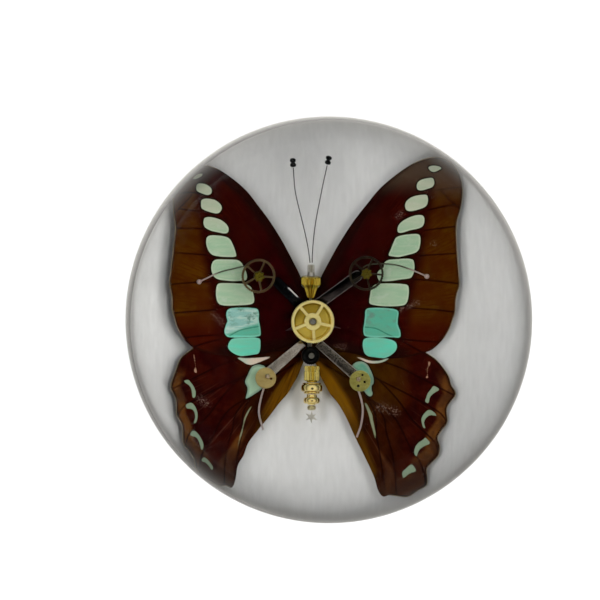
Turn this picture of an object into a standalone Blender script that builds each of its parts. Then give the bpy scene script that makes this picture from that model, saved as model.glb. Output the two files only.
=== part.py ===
"""A butterfly whose body is made of watch parts, shown under a solid glass dome.

Metres, +Z up. The origin is the middle of the dome's foot, on the table.
The specimen has a frame of its own: its origin is the main wheel's axis,
+Y runs towards the head, and heights are taken from the table.
"""
import math

import bmesh
import bpy
from mathutils import Euler, Vector
from mathutils.geometry import tessellate_polygon

MM = 0.001                      # the lengths below are in millimetres
GAP = 0.3                       # clearance between neighbouring pieces

# Dome and backing
DOME_RADIUS = 60.0
DOME_CENTRE_HEIGHT = 3.0        # the ball is cut a little below its widest circle
FOOT_CHAMFER = 0.6
RECESS_RADIUS = 51.0
RECESS_DEPTH = 8.4
BACKING_THICKNESS = 1.2
DOME_SEGMENTS = 64
DOME_ROWS = 13                  # rows of faces from the top down to the widest circle

# Where the specimen sits under the dome
SPECIMEN_X = -3.5
SPECIMEN_Y = -0.2
SPECIMEN_TURN = math.radians(-0.7)

# Heights of the specimen's layers: lowest and highest
HINDWING_LEVEL = (2.9, 3.15)
FOREWING_LEVEL = (3.5, 3.75)
ARM_LEVEL = (4.1, 4.7)
PRONG_LEVEL = (5.0, 5.5)
SMALL_WHEEL_LEVEL = (5.1, 5.5)
SMALL_HUB_LEVEL = (5.8, 6.4)
MAIN_DISC_LEVEL = (5.9, 6.3)
MAIN_WHEEL_LEVEL = (6.6, 7.0)
MAIN_PIVOT_LEVEL = (6.6, 7.5)
COLLAR_LEVEL = (5.0, 6.2)
COLLAR_PIVOT_LEVEL = (6.5, 6.9)
BODY_AXIS_HEIGHT = 5.3

# Wings of the right side, leading edge first, clockwise seen from above
FOREWING_OUTLINE = [
    (0.3, 4.0), (0.6, 5.9), (1.75, 6.75), (1.9, 8.3), (3.85, 12.15), (5.95, 15.95),
    (8.5, 19.9), (11.0, 23.2), (13.2, 26.0), (15.6, 28.3), (18.0, 30.3), (20.7, 32.3), (23.5, 33.8), (26.2, 34.8),
    (28.4, 34.9), (29.9, 34.1), (30.8, 32.1), (31.1, 29.4), (30.9, 26.9), (30.4, 24.4),
    (29.8, 22.2), (29.1, 20.2), (28.8, 17.5), (28.9, 13.7), (29.1, 10.2), (29.3, 7.3),
    (28.8, 5.6), (28.5, 4.0), (28.4, 1.9), (27.9, 0.3), (27.2, -1.6), (26.0, -3.5),
    (24.4, -5.1), (22.8, -6.0), (19.0, -7.0), (15.5, -7.3), (12.0, -7.0), (8.0, -6.2),
    (4.0, -5.0), (0.9, -3.6)]
HINDWING_OUTLINE = [
    (1.0, -3.2), (8.0, -2.6), (16.0, -3.4), (22.0, -5.2), (25.2, -7.1), (26.7, -8.8),
    (27.3, -10.4), (27.6, -12.3), (28.6, -14.1), (28.0, -15.5), (27.0, -17.1),
    (27.4, -19.7), (26.5, -21.2), (25.8, -22.8), (26.3, -25.6), (25.0, -27.5),
    (24.1, -29.4), (24.2, -31.6), (23.6, -33.6), (21.9, -34.6), (19.4, -35.7),
    (17.2, -34.9), (15.6, -35.3), (14.5, -34.6), (13.8, -32.2), (12.1, -28.4),
    (10.3, -24.7), (8.1, -20.3), (6.0, -16.6), (4.2, -14.4), (3.1, -12.5), (2.2, -10.9),
    (1.6, -9.2), (1.0, -7.4)]

# Wheels: outside radius over the teeth, tooth height, inside of the rim, hub
MAIN_WHEEL = dict(radius=4.4, tooth=0.13, rim=3.78, hub=1.72, bore=0.8, spoke=0.57,
                  teeth=72, first_spoke=59.0)
SMALL_WHEEL = dict(radius=3.5, tooth=0.09, rim=3.02, hub=0.95, bore=0.0, spoke=0.34,
                   teeth=48, first_spoke=67.0)
SPOKES = 5
BORE_POINTS = 16
MAIN_DISC_RADIUS = 3.9
MAIN_DISC_POINTS = 40
MAIN_PIVOT_RADII = (0.66, 0.3)  # of the post and of its rounded end
MAIN_PIVOT_SHOULDER = 0.25      # height of the rounded end
SMALL_HUB = dict(points=7, outer=1.15, inner=0.85)
SMALL_WHEEL_CENTRE = {"left": (-10.9, 9.0), "right": (10.8, 9.6)}
LOWER_DISC_CENTRE = {"left": (-9.1, -11.5), "right": (9.8, -11.8)}
LOWER_DISC_RADIUS = 2.1
LOWER_DISC_POINTS = 32
LOWER_DISC_HOLES = {            # centre and radius
    "left": [((-8.0, -11.6), 0.26)],
    "right": [((10.25, -10.6), 0.24), ((10.7, -12.0), 0.26), ((9.45, -12.8), 0.3)]}
LOWER_HOLE_POINTS = 10
LOWER_PIVOT_CENTRE = {"left": (-8.85, -11.15), "right": (9.45, -11.45)}
LOWER_PIVOT_RADII = (0.6, 0.35)
LOWER_PIVOT_HEIGHT = 0.5
COLLAR_CENTRE = (-0.15, -6.9)
COLLAR_RADIUS = 1.85
COLLAR_EDGE = 0.3               # bevel round the collar's foot
COLLAR_CROWN = (0.4, 0.6)       # height and width of the slope round its top
COLLAR_PIVOT_RADII = (0.65, 0.5)

# Arms: the middle line from under the main wheel outwards, and the two end widths
ARM_LINES = {
    ("upper", "left"): ((-0.97, 1.87), (-7.5, 8.25)),
    ("upper", "right"): ((0.88, 2.99), (9.8, 9.7)),
    ("lower", "left"): ((-1.5, -4.4), (-8.5, -10.6)),
    ("lower", "right"): ((1.5, -4.4), (9.0, -10.8))}
ARM_WIDTHS = {
    ("upper", "left"): (2.1, 2.0), ("upper", "right"): (2.1, 2.1),
    ("lower", "left"): (1.7, 2.2), ("lower", "right"): (1.7, 2.0)}
ARM_SHOULDER = 0.5              # length of the cut corners at the tip
ARM_NOSE = 0.6                  # the tip's flat end, as a share of the width
CROSS_BAR_OUTLINE = [(-5.2, -2.0), (-3.2, -1.6), (0.0, -1.4), (3.2, -1.2), (5.9, -1.4),
                     (3.3, -0.5), (0.0, -0.3), (-3.2, -0.7)]

# Wires: the points of the left one, from the body outwards, and each wire's radius
ANTENNA_RADIUS = 0.1
ANTENNA_ROUTE = {
    "left": [(-0.47, 11.7), (-0.8, 14.1), (-1.35, 16.9), (-2.2, 20.4), (-3.1, 23.9),
             (-3.7, 26.9), (-4.1, 31.3)],
    "right": [(-0.03, 11.7), (0.0, 13.5), (0.25, 16.9), (0.7, 20.4), (1.4, 24.3),
              (2.1, 28.0), (2.85, 31.7)]}
ANTENNA_HEIGHTS = (5.3, 4.4)
FORELEG_RADIUS = 0.14
HINDLEG_RADIUS = 0.2
LEG_BALL_RADIUS = 0.5
LEG_BALL_STEPS = (2.0, 1.7, 1.3, 1.0, 0.6, 0.25, 0.06)      # in ball radii from the wire's end
FORELEG_ROUTE = {
    "left": [(-12.6, 10.8), (-14.1, 10.7), (-16.4, 10.2), (-18.1, 9.8), (-19.7, 9.2), (-21.4, 8.4),
             (-23.4, 7.5)],
    "right": [(10.2, 10.6), (11.0, 11.1), (12.5, 11.35), (14.1, 11.4), (17.0, 11.1), (20.1, 10.1),
              (23.3, 8.75)]}
HINDLEG_ROUTE = {
    "left": [(-9.0, -13.2), (-9.6, -15.3), (-10.0, -17.5), (-9.9, -19.2), (-9.1, -21.8)],
    "right": [(9.5, -13.4), (10.2, -15.5), (10.5, -17.6), (10.2, -20.3), (9.4, -22.8)]}
FORELEG_HEIGHT = 4.4
HINDLEG_HEIGHT = 3.75
WIRE_SIDES = 6
BEAD_LENGTH = 1.8
BEAD_RADIUS = 0.62
BEAD_SHAPE = [(0.0, 0.7), (0.1, 1.0), (0.3, 1.0), (0.42, 0.6), (0.58, 0.6), (0.7, 1.0),
              (0.9, 1.0), (1.0, 0.7)]       # a double bead: shares of its length and radius

# Fluted pieces about the body axis: (place along it, radius), flute count and depth
PINION_STATIONS = [(11.3, 0.74), (9.4, 0.74)]
PINION_FLUTES = (5, 0.4)
CROWN_STATIONS = [(8.9, 1.7), (8.6, 2.05), (6.9, 1.85), (6.6, 1.25), (4.9, 0.72), (4.6, 0.55)]
CROWN_FLUTES = (14, 0.3)
SLEEVE_STATIONS = [(-8.9, 1.35), (-9.2, 1.6), (-10.1, 1.6), (-11.8, 1.65), (-12.0, 1.4)]
SLEEVE_FLUTES = (12, 0.3)
RING_1_STATIONS = [(-12.3, 1.3), (-12.6, 1.85), (-13.1, 2.15), (-13.7, 2.15), (-14.2, 1.85), (-14.5, 1.3)]
RING_1_FLUTES = (14, 0.0)
RING_2_STATIONS = [(-14.8, 0.95), (-15.3, 1.0), (-15.5, 1.35), (-15.8, 1.55), (-16.2, 1.5), (-16.6, 0.9)]
RING_2_FLUTES = (12, 0.0)
END_RING_STATIONS = [(-16.9, 0.55), (-17.1, 0.82), (-17.5, 0.85), (-17.75, 0.55)]
END_RING_FLUTES = (9, 0.0)
ABDOMEN_X = 0.2
HEAD_X = -0.25
FINIAL = dict(points=6, outer=1.2, inner=0.45)
FINIAL_CENTRE_Y = -19.1
FINIAL_HALF_THICKNESS = 0.4


# ---------------------------------------------------------------- basic tools

def clear_scene():
    for item in list(bpy.data.objects):
        bpy.data.objects.remove(item)


def make_material(name, colour, roughness, metallic=0.0, transmission=0.0):
    made = bpy.data.materials.new(name)
    made.use_nodes = True
    shader = made.node_tree.nodes["Principled BSDF"]
    shader.inputs["Base Color"].default_value = (*colour, 1.0)
    shader.inputs["Roughness"].default_value = roughness
    shader.inputs["Metallic"].default_value = metallic
    shader.inputs["Transmission Weight"].default_value = transmission
    return made


def add_object(name, verts, faces, finish, smooth_below=None):
    """One closed mesh object from points in millimetres, faces turned outwards."""
    mesh = bpy.data.meshes.new(name)
    mesh.from_pydata([Vector(v) * MM for v in verts], [], faces)
    shape = bmesh.new()
    shape.from_mesh(mesh)
    bmesh.ops.recalc_face_normals(shape, faces=shape.faces)
    shape.to_mesh(mesh)
    shape.free()
    mesh.materials.append(finish)
    if smooth_below:
        mesh.shade_smooth()
        mesh.set_sharp_from_angle(angle=math.radians(smooth_below))
    made = bpy.data.objects.new(name, mesh)
    bpy.context.collection.objects.link(made)
    return made


def on_circle(radius, angle):
    return (radius * math.cos(angle), radius * math.sin(angle))


def moved(outline, centre):
    return [(x + centre[0], y + centre[1]) for x, y in outline]


def circle(radius, points, centre=(0.0, 0.0)):
    ring = [on_circle(radius, math.tau * k / points) for k in range(points)]
    return moved(ring, centre)


def plate(name, outline, level, finish, holes=()):
    """A flat piece between two heights, with holes right through it."""
    loops = [outline, *holes]
    flat = [point for loop in loops for point in loop]
    count = len(flat)
    verts = [(x, y, level[0]) for x, y in flat] + [(x, y, level[1]) for x, y in flat]
    triangles = tessellate_polygon([[Vector((x, y, 0.0)) for x, y in loop] for loop in loops])
    faces = [tuple(t) for t in triangles]
    faces += [tuple(i + count for i in reversed(t)) for t in triangles]
    first = 0
    for loop in loops:
        for k in range(len(loop)):
            a = first + k
            b = first + (k + 1) % len(loop)
            faces.append((a, b, b + count, a + count))
        first += len(loop)
    return add_object(name, verts, faces, finish)


def loft(name, rings, finish, smooth_below=None):
    """Closed rings of equal count joined in order, with flat caps at both ends."""
    sides = len(rings[0])
    verts = [point for ring in rings for point in ring]
    faces = [tuple(range(sides)), tuple((len(rings) - 1) * sides + k for k in range(sides))]
    for row in range(len(rings) - 1):
        for k in range(sides):
            a = row * sides + k
            b = row * sides + (k + 1) % sides
            faces.append((a, b, b + sides, a + sides))
    return add_object(name, verts, faces, finish, smooth_below)


def turned(name, stations, finish, centre=(0.0, 0.0), points=24):
    """A round piece about a vertical axis from (height, radius) stations."""
    rings = [[(x, y, height) for x, y in circle(radius, points, centre)]
             for height, radius in stations]
    return loft(name, rings, finish, 35)


def along_body(name, stations, fluting, finish, x):
    """A fluted piece about the body axis from (place, radius) stations."""
    flutes, depth = fluting
    rings = []
    for place, radius in stations:
        ring = []
        for k in range(2 * flutes):
            reach = radius - (depth if k % 2 else 0.0)
            across, up = on_circle(reach, math.tau * k / (2 * flutes))
            ring.append((x + across, place, BODY_AXIS_HEIGHT + up))
        rings.append(ring)
    return loft(name, rings, finish)


def smooth_route(points, heights, steps):
    """A Catmull-Rom curve through plan points, its height eased from one end to the other."""
    last = len(points) - 1
    route = []
    for k in range(last * steps + 1):
        span = min(k // steps, last - 1)
        t = k / steps - span
        p = [Vector(points[min(max(span + j, 0), last)]) for j in (-1, 0, 1, 2)]
        plan = 0.5 * (2 * p[1] + (p[2] - p[0]) * t + (2 * p[0] - 5 * p[1] + 4 * p[2] - p[3]) * t ** 2
                      + (3 * p[1] - p[0] - 3 * p[2] + p[3]) * t ** 3)
        part = k / (last * steps)
        route.append(Vector((*plan, heights[0] + (heights[1] - heights[0]) * part)))
    return route


def rod(name, route, radii, finish):
    """A wire along a route, with its own radius at every point."""
    rings = []
    for k, (place, radius) in enumerate(zip(route, radii)):
        ahead = route[min(k + 1, len(route) - 1)] - route[max(k - 1, 0)]
        side = ahead.cross(Vector((0, 0, 1))).normalized()
        up = side.cross(ahead).normalized()
        ring = []
        for x, y in circle(radius, WIRE_SIDES):
            ring.append(place + side * x + up * y)
        rings.append(ring)
    return loft(name, rings, finish, 60)


def mirrored(outline):
    return [(-x, y) for x, y in reversed(outline)]


def place_specimen(pieces):
    """Moves the specimen from its own frame to its place under the dome."""
    holder = bpy.data.objects.new("specimen_place", None)
    bpy.context.collection.objects.link(holder)
    for piece in pieces:
        piece.parent = holder
    holder.location = (SPECIMEN_X * MM, SPECIMEN_Y * MM, 0.0)
    holder.rotation_euler = Euler((0.0, 0.0, SPECIMEN_TURN))


# ---------------------------------------------------------------- case

def glass_dome(finish):
    """A ball of glass cut flat below, with a round recess in its foot."""
    foot_angle = math.acos((FOOT_CHAMFER - DOME_CENTRE_HEIGHT) / DOME_RADIUS)
    angles = [math.pi / 2 * k / DOME_ROWS for k in range(1, DOME_ROWS + 1)] + [foot_angle]
    outside = [(DOME_RADIUS * math.cos(a) + DOME_CENTRE_HEIGHT, DOME_RADIUS * math.sin(a))
               for a in angles]
    foot = [(0.0, outside[-1][1] - FOOT_CHAMFER), (0.0, RECESS_RADIUS)]
    rows = outside + foot + [(RECESS_DEPTH, RECESS_RADIUS)]
    verts = [(x, y, height) for height, radius in rows for x, y in circle(radius, DOME_SEGMENTS)]
    faces = []
    for row in range(len(rows) - 1):
        for k in range(DOME_SEGMENTS):
            a = row * DOME_SEGMENTS + k
            b = row * DOME_SEGMENTS + (k + 1) % DOME_SEGMENTS
            faces.append((a, b, b + DOME_SEGMENTS, a + DOME_SEGMENTS))
    ceiling = (len(rows) - 1) * DOME_SEGMENTS
    faces.append(tuple(range(ceiling, ceiling + DOME_SEGMENTS)))
    top = len(verts)
    verts.append((0.0, 0.0, DOME_CENTRE_HEIGHT + DOME_RADIUS))
    faces += [(k, (k + 1) % DOME_SEGMENTS, top) for k in range(DOME_SEGMENTS)]
    return add_object("glass_dome", verts, faces, finish, 30)


def backing_disc(finish):
    rim = circle(RECESS_RADIUS - GAP, DOME_SEGMENTS)
    return plate("backing_disc", rim, (GAP, GAP + BACKING_THICKNESS), finish)


# ---------------------------------------------------------------- wings

def wings(finish):
    made = []
    for kind, outline, level in (("forewing", FOREWING_OUTLINE, FOREWING_LEVEL),
                                 ("hindwing", HINDWING_OUTLINE, HINDWING_LEVEL)):
        made.append(plate(kind + "_right", outline, level, finish))
        made.append(plate(kind + "_left", mirrored(outline), level, finish))
    return made


# ---------------------------------------------------------------- wheels and discs

def toothed_rim(wheel):
    pitch = math.tau / wheel["teeth"]
    root = wheel["radius"] - wheel["tooth"]
    rim = []
    for k in range(wheel["teeth"]):
        for reach, part in ((root, 0.0), (root, 0.4), (wheel["radius"], 0.55), (wheel["radius"], 0.85)):
            rim.append(on_circle(reach, pitch * (k + part)))
    return rim


def spoke_window(wheel, spoke_angle, arc_points=5):
    """The opening between one straight-sided spoke and the next."""
    window = []
    for radius, step in ((wheel["rim"], 1), (wheel["hub"], -1)):
        clear = math.asin(wheel["spoke"] / 2 / radius)
        start = spoke_angle + clear
        sweep = math.tau / SPOKES - 2 * clear
        arc = [on_circle(radius, start + sweep * k / arc_points) for k in range(arc_points + 1)]
        window += arc[::step]
    return window


def spoked_wheel(name, wheel, centre, level, finish):
    windows = [spoke_window(wheel, math.radians(wheel["first_spoke"]) + math.tau * k / SPOKES)
               for k in range(SPOKES)]
    if wheel["bore"]:
        windows.append(circle(wheel["bore"], BORE_POINTS))
    holes = [moved(window, centre) for window in windows]
    return plate(name, moved(toothed_rim(wheel), centre), level, finish, holes)


def star(shape, centre):
    """A star with one point towards the head."""
    outline = []
    for k in range(2 * shape["points"]):
        reach = shape["inner"] if k % 2 else shape["outer"]
        outline.append(on_circle(reach, math.pi / 2 + math.pi * k / shape["points"]))
    return moved(outline, centre)


def main_wheel_stack(brass, gold, steel):
    disc_rim = circle(MAIN_DISC_RADIUS, MAIN_DISC_POINTS)
    low, high = MAIN_PIVOT_LEVEL
    wide, narrow = MAIN_PIVOT_RADII
    pivot = [(low, wide), (high - MAIN_PIVOT_SHOULDER, wide), (high, narrow)]
    return [spoked_wheel("main_wheel", MAIN_WHEEL, (0.0, 0.0), MAIN_WHEEL_LEVEL, brass),
            plate("main_wheel_disc", disc_rim, MAIN_DISC_LEVEL, gold),
            turned("main_pivot", pivot, steel, points=16)]


def small_wheels(finishes, hub_finish):
    made = []
    for side, centre in SMALL_WHEEL_CENTRE.items():
        name = "upper_wheel_" + side
        made.append(spoked_wheel(name, SMALL_WHEEL, centre, SMALL_WHEEL_LEVEL, finishes[side]))
        hub = star(SMALL_HUB, centre)
        made.append(plate("upper_hub_" + side, hub, SMALL_HUB_LEVEL, hub_finish))
    return made


def lower_discs(brass, steel):
    made = []
    for side, centre in LOWER_DISC_CENTRE.items():
        rim = circle(LOWER_DISC_RADIUS, LOWER_DISC_POINTS, centre)
        holes = [circle(radius, LOWER_HOLE_POINTS, place) for place, radius in LOWER_DISC_HOLES[side]]
        made.append(plate("lower_disc_" + side, rim, SMALL_WHEEL_LEVEL, brass, holes))
        base = SMALL_WHEEL_LEVEL[1] + GAP
        pivot = list(zip((base, base + LOWER_PIVOT_HEIGHT), LOWER_PIVOT_RADII))
        made.append(turned("lower_pivot_" + side, pivot, steel, LOWER_PIVOT_CENTRE[side], 12))
    return made


def collar(black, steel):
    low, high = COLLAR_LEVEL
    crown_height, crown_width = COLLAR_CROWN
    body = [(low, COLLAR_RADIUS - COLLAR_EDGE), (low + COLLAR_EDGE, COLLAR_RADIUS),
            (high - crown_height, COLLAR_RADIUS), (high, COLLAR_RADIUS - crown_width)]
    pivot = list(zip(COLLAR_PIVOT_LEVEL, COLLAR_PIVOT_RADII))
    return [turned("black_collar", body, black, COLLAR_CENTRE),
            turned("collar_pivot", pivot, steel, COLLAR_CENTRE, 16)]


# ---------------------------------------------------------------- arms

def tapered_strip(root, tip, widths):
    """A flat lever's outline: straight edges, corners cut off at the tip."""
    root, tip = Vector(root), Vector(tip)
    along = (tip - root).normalized()
    side = Vector((-along.y, along.x))
    half_root = widths[0] / 2
    half_tip = widths[1] / 2
    nose = half_tip * ARM_NOSE
    shoulder = tip - along * ARM_SHOULDER
    points = [root - side * half_root, shoulder - side * half_tip, tip - side * nose,
              tip + side * nose, shoulder + side * half_tip, root + side * half_root]
    return [tuple(p) for p in points]


def arms(dark_steel, bright_steel):
    finishes = {("upper", "left"): dark_steel, ("upper", "right"): dark_steel,
                ("lower", "left"): bright_steel, ("lower", "right"): dark_steel}
    made = []
    for (kind, side), (root, tip) in ARM_LINES.items():
        outline = tapered_strip(root, tip, ARM_WIDTHS[kind, side])
        made.append(plate(f"arm_{kind}_{side}", outline, ARM_LEVEL, finishes[kind, side]))
    return made


def cross_bar(steel):
    """A thin yoke under the main wheel, whose two points show beside it."""
    return plate("cross_bar", CROSS_BAR_OUTLINE, PRONG_LEVEL, steel)


# ---------------------------------------------------------------- head and abdomen

def head(steel, brass):
    return [along_body("head_pinion", PINION_STATIONS, PINION_FLUTES, steel, HEAD_X),
            along_body("head_crown", CROWN_STATIONS, CROWN_FLUTES, brass, HEAD_X)]


def abdomen(brass, steel):
    made = []
    for name, stations, fluting in (
            ("abdomen_sleeve", SLEEVE_STATIONS, SLEEVE_FLUTES),
            ("abdomen_ring_1", RING_1_STATIONS, RING_1_FLUTES),
            ("abdomen_ring_2", RING_2_STATIONS, RING_2_FLUTES),
            ("abdomen_end_ring", END_RING_STATIONS, END_RING_FLUTES)):
        made.append(along_body(name, stations, fluting, brass, ABDOMEN_X))
    level = (BODY_AXIS_HEIGHT - FINIAL_HALF_THICKNESS, BODY_AXIS_HEIGHT + FINIAL_HALF_THICKNESS)
    outline = star(FINIAL, (ABDOMEN_X, FINIAL_CENTRE_Y))
    made.append(plate("star_finial", outline, level, steel))
    return made


# ---------------------------------------------------------------- wires

def antennae(steel, black):
    made = []
    for side, points in ANTENNA_ROUTE.items():
        route = smooth_route(points, ANTENNA_HEIGHTS, 2)
        made.append(rod("antenna_wire_" + side, route, [ANTENNA_RADIUS] * len(route), steel))
        ahead = (route[-1] - route[-2]).normalized()
        start = route[-1] + ahead * GAP
        places = [start + ahead * part * BEAD_LENGTH for part, _ in BEAD_SHAPE]
        radii = [reach * BEAD_RADIUS for _, reach in BEAD_SHAPE]
        made.append(rod("antenna_bead_" + side, places, radii, black))
    return made


def ball_ended(route):
    """Wire radii that swell into a ball over the last stretch of the route."""
    end = route[-1]
    radii = []
    for place in route:
        short = (place - end).length / LEG_BALL_RADIUS - 1.0
        ball = LEG_BALL_RADIUS * math.sqrt(max(0.0, 1.0 - short * short))
        radii.append(max(FORELEG_RADIUS, ball))
    return radii


def add_ball_points(route):
    """Close points over the last millimetre, so that the ball is round."""
    end = route[-1]
    back = (route[-2] - end).normalized()
    near = [end + back * LEG_BALL_RADIUS * part for part in LEG_BALL_STEPS]
    return route[:-1] + near


def legs(steel):
    made = []
    for side in ("left", "right"):
        route = smooth_route(FORELEG_ROUTE[side], (FORELEG_HEIGHT, FORELEG_HEIGHT), 2)
        route = add_ball_points(route)
        made.append(rod("foreleg_" + side, route, ball_ended(route), steel))
        route = smooth_route(HINDLEG_ROUTE[side], (HINDLEG_HEIGHT, HINDLEG_HEIGHT), 3)
        made.append(rod("hindleg_" + side, route, [HINDLEG_RADIUS] * len(route), steel))
    return made


# ---------------------------------------------------------------- the whole object

def build():
    clear_scene()
    glass = make_material("clear_glass", (1.0, 1.0, 1.0), 0.0, transmission=1.0)
    card = make_material("white_card", (0.72, 0.72, 0.70), 0.8)
    scales = make_material("wing_scales", (0.06, 0.02, 0.01), 0.6)
    brass = make_material("pale_brass", (0.75, 0.60, 0.28), 0.3, 1.0)
    gold = make_material("gilt_brass", (0.65, 0.45, 0.10), 0.3, 1.0)
    olive = make_material("tarnished_brass", (0.25, 0.20, 0.07), 0.4, 1.0)
    steel = make_material("bright_steel", (0.55, 0.54, 0.52), 0.3, 1.0)
    dark_steel = make_material("dark_steel", (0.08, 0.08, 0.09), 0.15, 1.0)
    black = make_material("black_oxide", (0.02, 0.02, 0.02), 0.4, 1.0)

    glass_dome(glass)
    backing_disc(card)
    specimen = wings(scales)
    specimen += main_wheel_stack(brass, gold, steel)
    specimen += small_wheels({"left": olive, "right": black}, olive)
    specimen += lower_discs(brass, steel)
    specimen += collar(black, steel)
    specimen += arms(dark_steel, steel)
    specimen += [cross_bar(steel)]
    specimen += head(steel, gold)
    specimen += abdomen(gold, steel)
    specimen += antennae(steel, black)
    specimen += legs(steel)
    place_specimen(specimen)


build()
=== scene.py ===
"""The look of the butterfly of watch parts under its solid glass dome.

The specimen's own frame is in millimetres: its origin is the main wheel's axis, +Y runs towards
the head, and heights are taken from the table.
"""
import math

import bmesh
import bpy
import numpy as np
from mathutils import Matrix, Vector
from mathutils.geometry import delaunay_2d_cdt


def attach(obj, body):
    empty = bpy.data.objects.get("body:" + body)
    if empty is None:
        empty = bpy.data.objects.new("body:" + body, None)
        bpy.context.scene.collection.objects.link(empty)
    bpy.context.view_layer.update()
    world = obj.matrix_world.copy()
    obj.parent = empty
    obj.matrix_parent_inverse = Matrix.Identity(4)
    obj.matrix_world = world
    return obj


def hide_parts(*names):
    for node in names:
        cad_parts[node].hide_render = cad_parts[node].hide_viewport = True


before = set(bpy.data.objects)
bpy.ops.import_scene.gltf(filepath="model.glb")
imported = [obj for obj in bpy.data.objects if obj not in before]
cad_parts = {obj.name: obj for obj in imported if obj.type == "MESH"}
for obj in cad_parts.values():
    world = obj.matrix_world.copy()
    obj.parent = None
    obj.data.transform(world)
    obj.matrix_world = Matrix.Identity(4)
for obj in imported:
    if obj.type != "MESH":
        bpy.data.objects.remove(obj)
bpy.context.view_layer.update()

MM = 0.001
SPECIMEN_X = -3.5
SPECIMEN_Y = -0.2
SPECIMEN_TURN = math.radians(-0.7)
SPECIMEN_PLACE = (Matrix.Translation((SPECIMEN_X * MM, SPECIMEN_Y * MM, 0.0))
                  @ Matrix.Rotation(SPECIMEN_TURN, 4, "Z") @ Matrix.Scale(MM, 4))
CASE_PLACE = Matrix.Scale(MM, 4)

# Case
DOME_RADIUS = 60.0
DOME_CENTRE_HEIGHT = 3.0
FOOT_CHAMFER = 0.6
RECESS_RADIUS = 51.0
RECESS_DEPTH = 8.4
BACKING = (50.7, 0.3, 1.5)      # radius, lowest and highest
DOME_SEGMENTS = 256
DOME_ROWS = 110

# Heights of the specimen's layers
HINDWING_LEVEL = (2.9, 3.15)
FOREWING_LEVEL = (3.5, 3.75)
ARM_LEVEL = (4.1, 4.7)
PRONG_LEVEL = (5.0, 5.5)
SMALL_WHEEL_LEVEL = (5.1, 5.5)
SMALL_HUB_LEVEL = (5.8, 6.4)
MAIN_DISC_LEVEL = (5.9, 6.3)
MAIN_WHEEL_LEVEL = (6.6, 7.0)
BODY_AXIS_HEIGHT = 5.3
HEAD_X = -0.25
ABDOMEN_X = 0.2

WING_GRID = 0.22                # distance between a wing's mesh points
GLASS_IOR = 1.5

# The photograph's view: slant of the line of sight in radians, distance from the ball's centre, and where
# the dome lies in the photograph, in pixels
VIEW_SLANT = (0.08, -0.05)
VIEW_DISTANCE = 480.0
PHOTO_SIZE = 600.0
PHOTO_DOME_CENTRE = (328.84, 319.81)
PHOTO_DOME_RADIUS = 203.4


# ---------------------------------------------------------------- shader tools

class Tree:
    """Short names for the few shader nodes that the materials are made of."""

    def __init__(self, owner):
        owner.use_nodes = True
        self.tree = owner.node_tree
        self.tree.nodes.clear()

    def add(self, kind, **settings):
        node = self.tree.nodes.new("ShaderNode" + kind)
        for key, value in settings.items():
            setattr(node, key, value)
        return node

    def put(self, value, socket):
        if isinstance(value, bpy.types.NodeSocket):
            self.tree.links.new(value, socket)
        elif isinstance(value, tuple) and len(value) == 3 and socket.type == "RGBA":
            socket.default_value = (*value, 1.0)
        else:
            socket.default_value = value

    def math(self, kind, a, b=None, clamp=False):
        node = self.add("Math", operation=kind, use_clamp=clamp)
        self.put(a, node.inputs[0])
        if b is not None:
            self.put(b, node.inputs[1])
        return node.outputs[0]

    def times(self, a, b):
        return self.math("MULTIPLY", a, b)

    def plus(self, a, b):
        return self.math("ADD", a, b)

    def mix(self, share, a, b, blend="MIX"):
        node = self.add("Mix", data_type="RGBA", blend_type=blend)
        self.put(share, node.inputs["Factor"])
        self.put(a, node.inputs[6])
        self.put(b, node.inputs[7])
        return node.outputs[2]

    def step(self, value, start, end, low=0.0, high=1.0):
        """A soft step between two values."""
        node = self.add("MapRange", interpolation_type="SMOOTHSTEP")
        for place, number in enumerate((value, start, end, low, high)):
            self.put(number, node.inputs[place])
        return node.outputs[0]

    def fade(self, value, start, end, a, b):
        """Goes from one colour to another as a value goes from start to end."""
        return self.mix(self.step(value, start, end), a, b)

    def attribute(self, name, output="Fac"):
        return self.add("Attribute", attribute_name=name).outputs[output]

    def coords(self, scale=(1000.0, 1000.0, 1000.0), turn=(0.0, 0.0, 0.0)):
        """Object coordinates, scaled; a scale of 1000 gives millimetres."""
        place = self.add("TexCoord").outputs["Object"]
        mapping = self.add("Mapping", vector_type="POINT")
        self.put(place, mapping.inputs["Vector"])
        mapping.inputs["Rotation"].default_value = turn
        mapping.inputs["Scale"].default_value = scale
        return mapping.outputs[0]

    def split(self, vector):
        """The three numbers of a vector."""
        node = self.add("SeparateXYZ")
        self.put(vector, node.inputs[0])
        return node.outputs

    def from_middle(self):
        """Distance to the right of the specimen's middle line, in millimetres."""
        return self.plus(self.split(self.coords())["X"], -SPECIMEN_X)

    def joined(self, x, y):
        node = self.add("CombineXYZ")
        self.put(x, node.inputs[0])
        self.put(y, node.inputs[1])
        return node.outputs[0]

    def stretched(self, vector, scale):
        mapping = self.add("Mapping", vector_type="POINT")
        self.put(vector, mapping.inputs["Vector"])
        mapping.inputs["Scale"].default_value = scale
        return mapping.outputs[0]

    def noise(self, vector, scale=1.0, detail=2.0, roughness=0.5):
        node = self.add("TexNoise")
        self.put(vector, node.inputs["Vector"])
        for name, number in (("Scale", scale), ("Detail", detail), ("Roughness", roughness)):
            node.inputs[name].default_value = number
        return node.outputs[0]

    def bump(self, height, strength, distance):
        node = self.add("Bump")
        node.inputs["Strength"].default_value = strength
        node.inputs["Distance"].default_value = distance
        self.put(height, node.inputs["Height"])
        return node.outputs[0]

    def shader(self, **values):
        node = self.add("BsdfPrincipled")
        for name, value in values.items():
            self.put(value, node.inputs[name.replace("_", " ")])
        out = self.add("OutputMaterial")
        self.tree.links.new(node.outputs[0], out.inputs[0])
        return node


def new_material(name):
    made = bpy.data.materials.new(name)
    return made, Tree(made)


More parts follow.
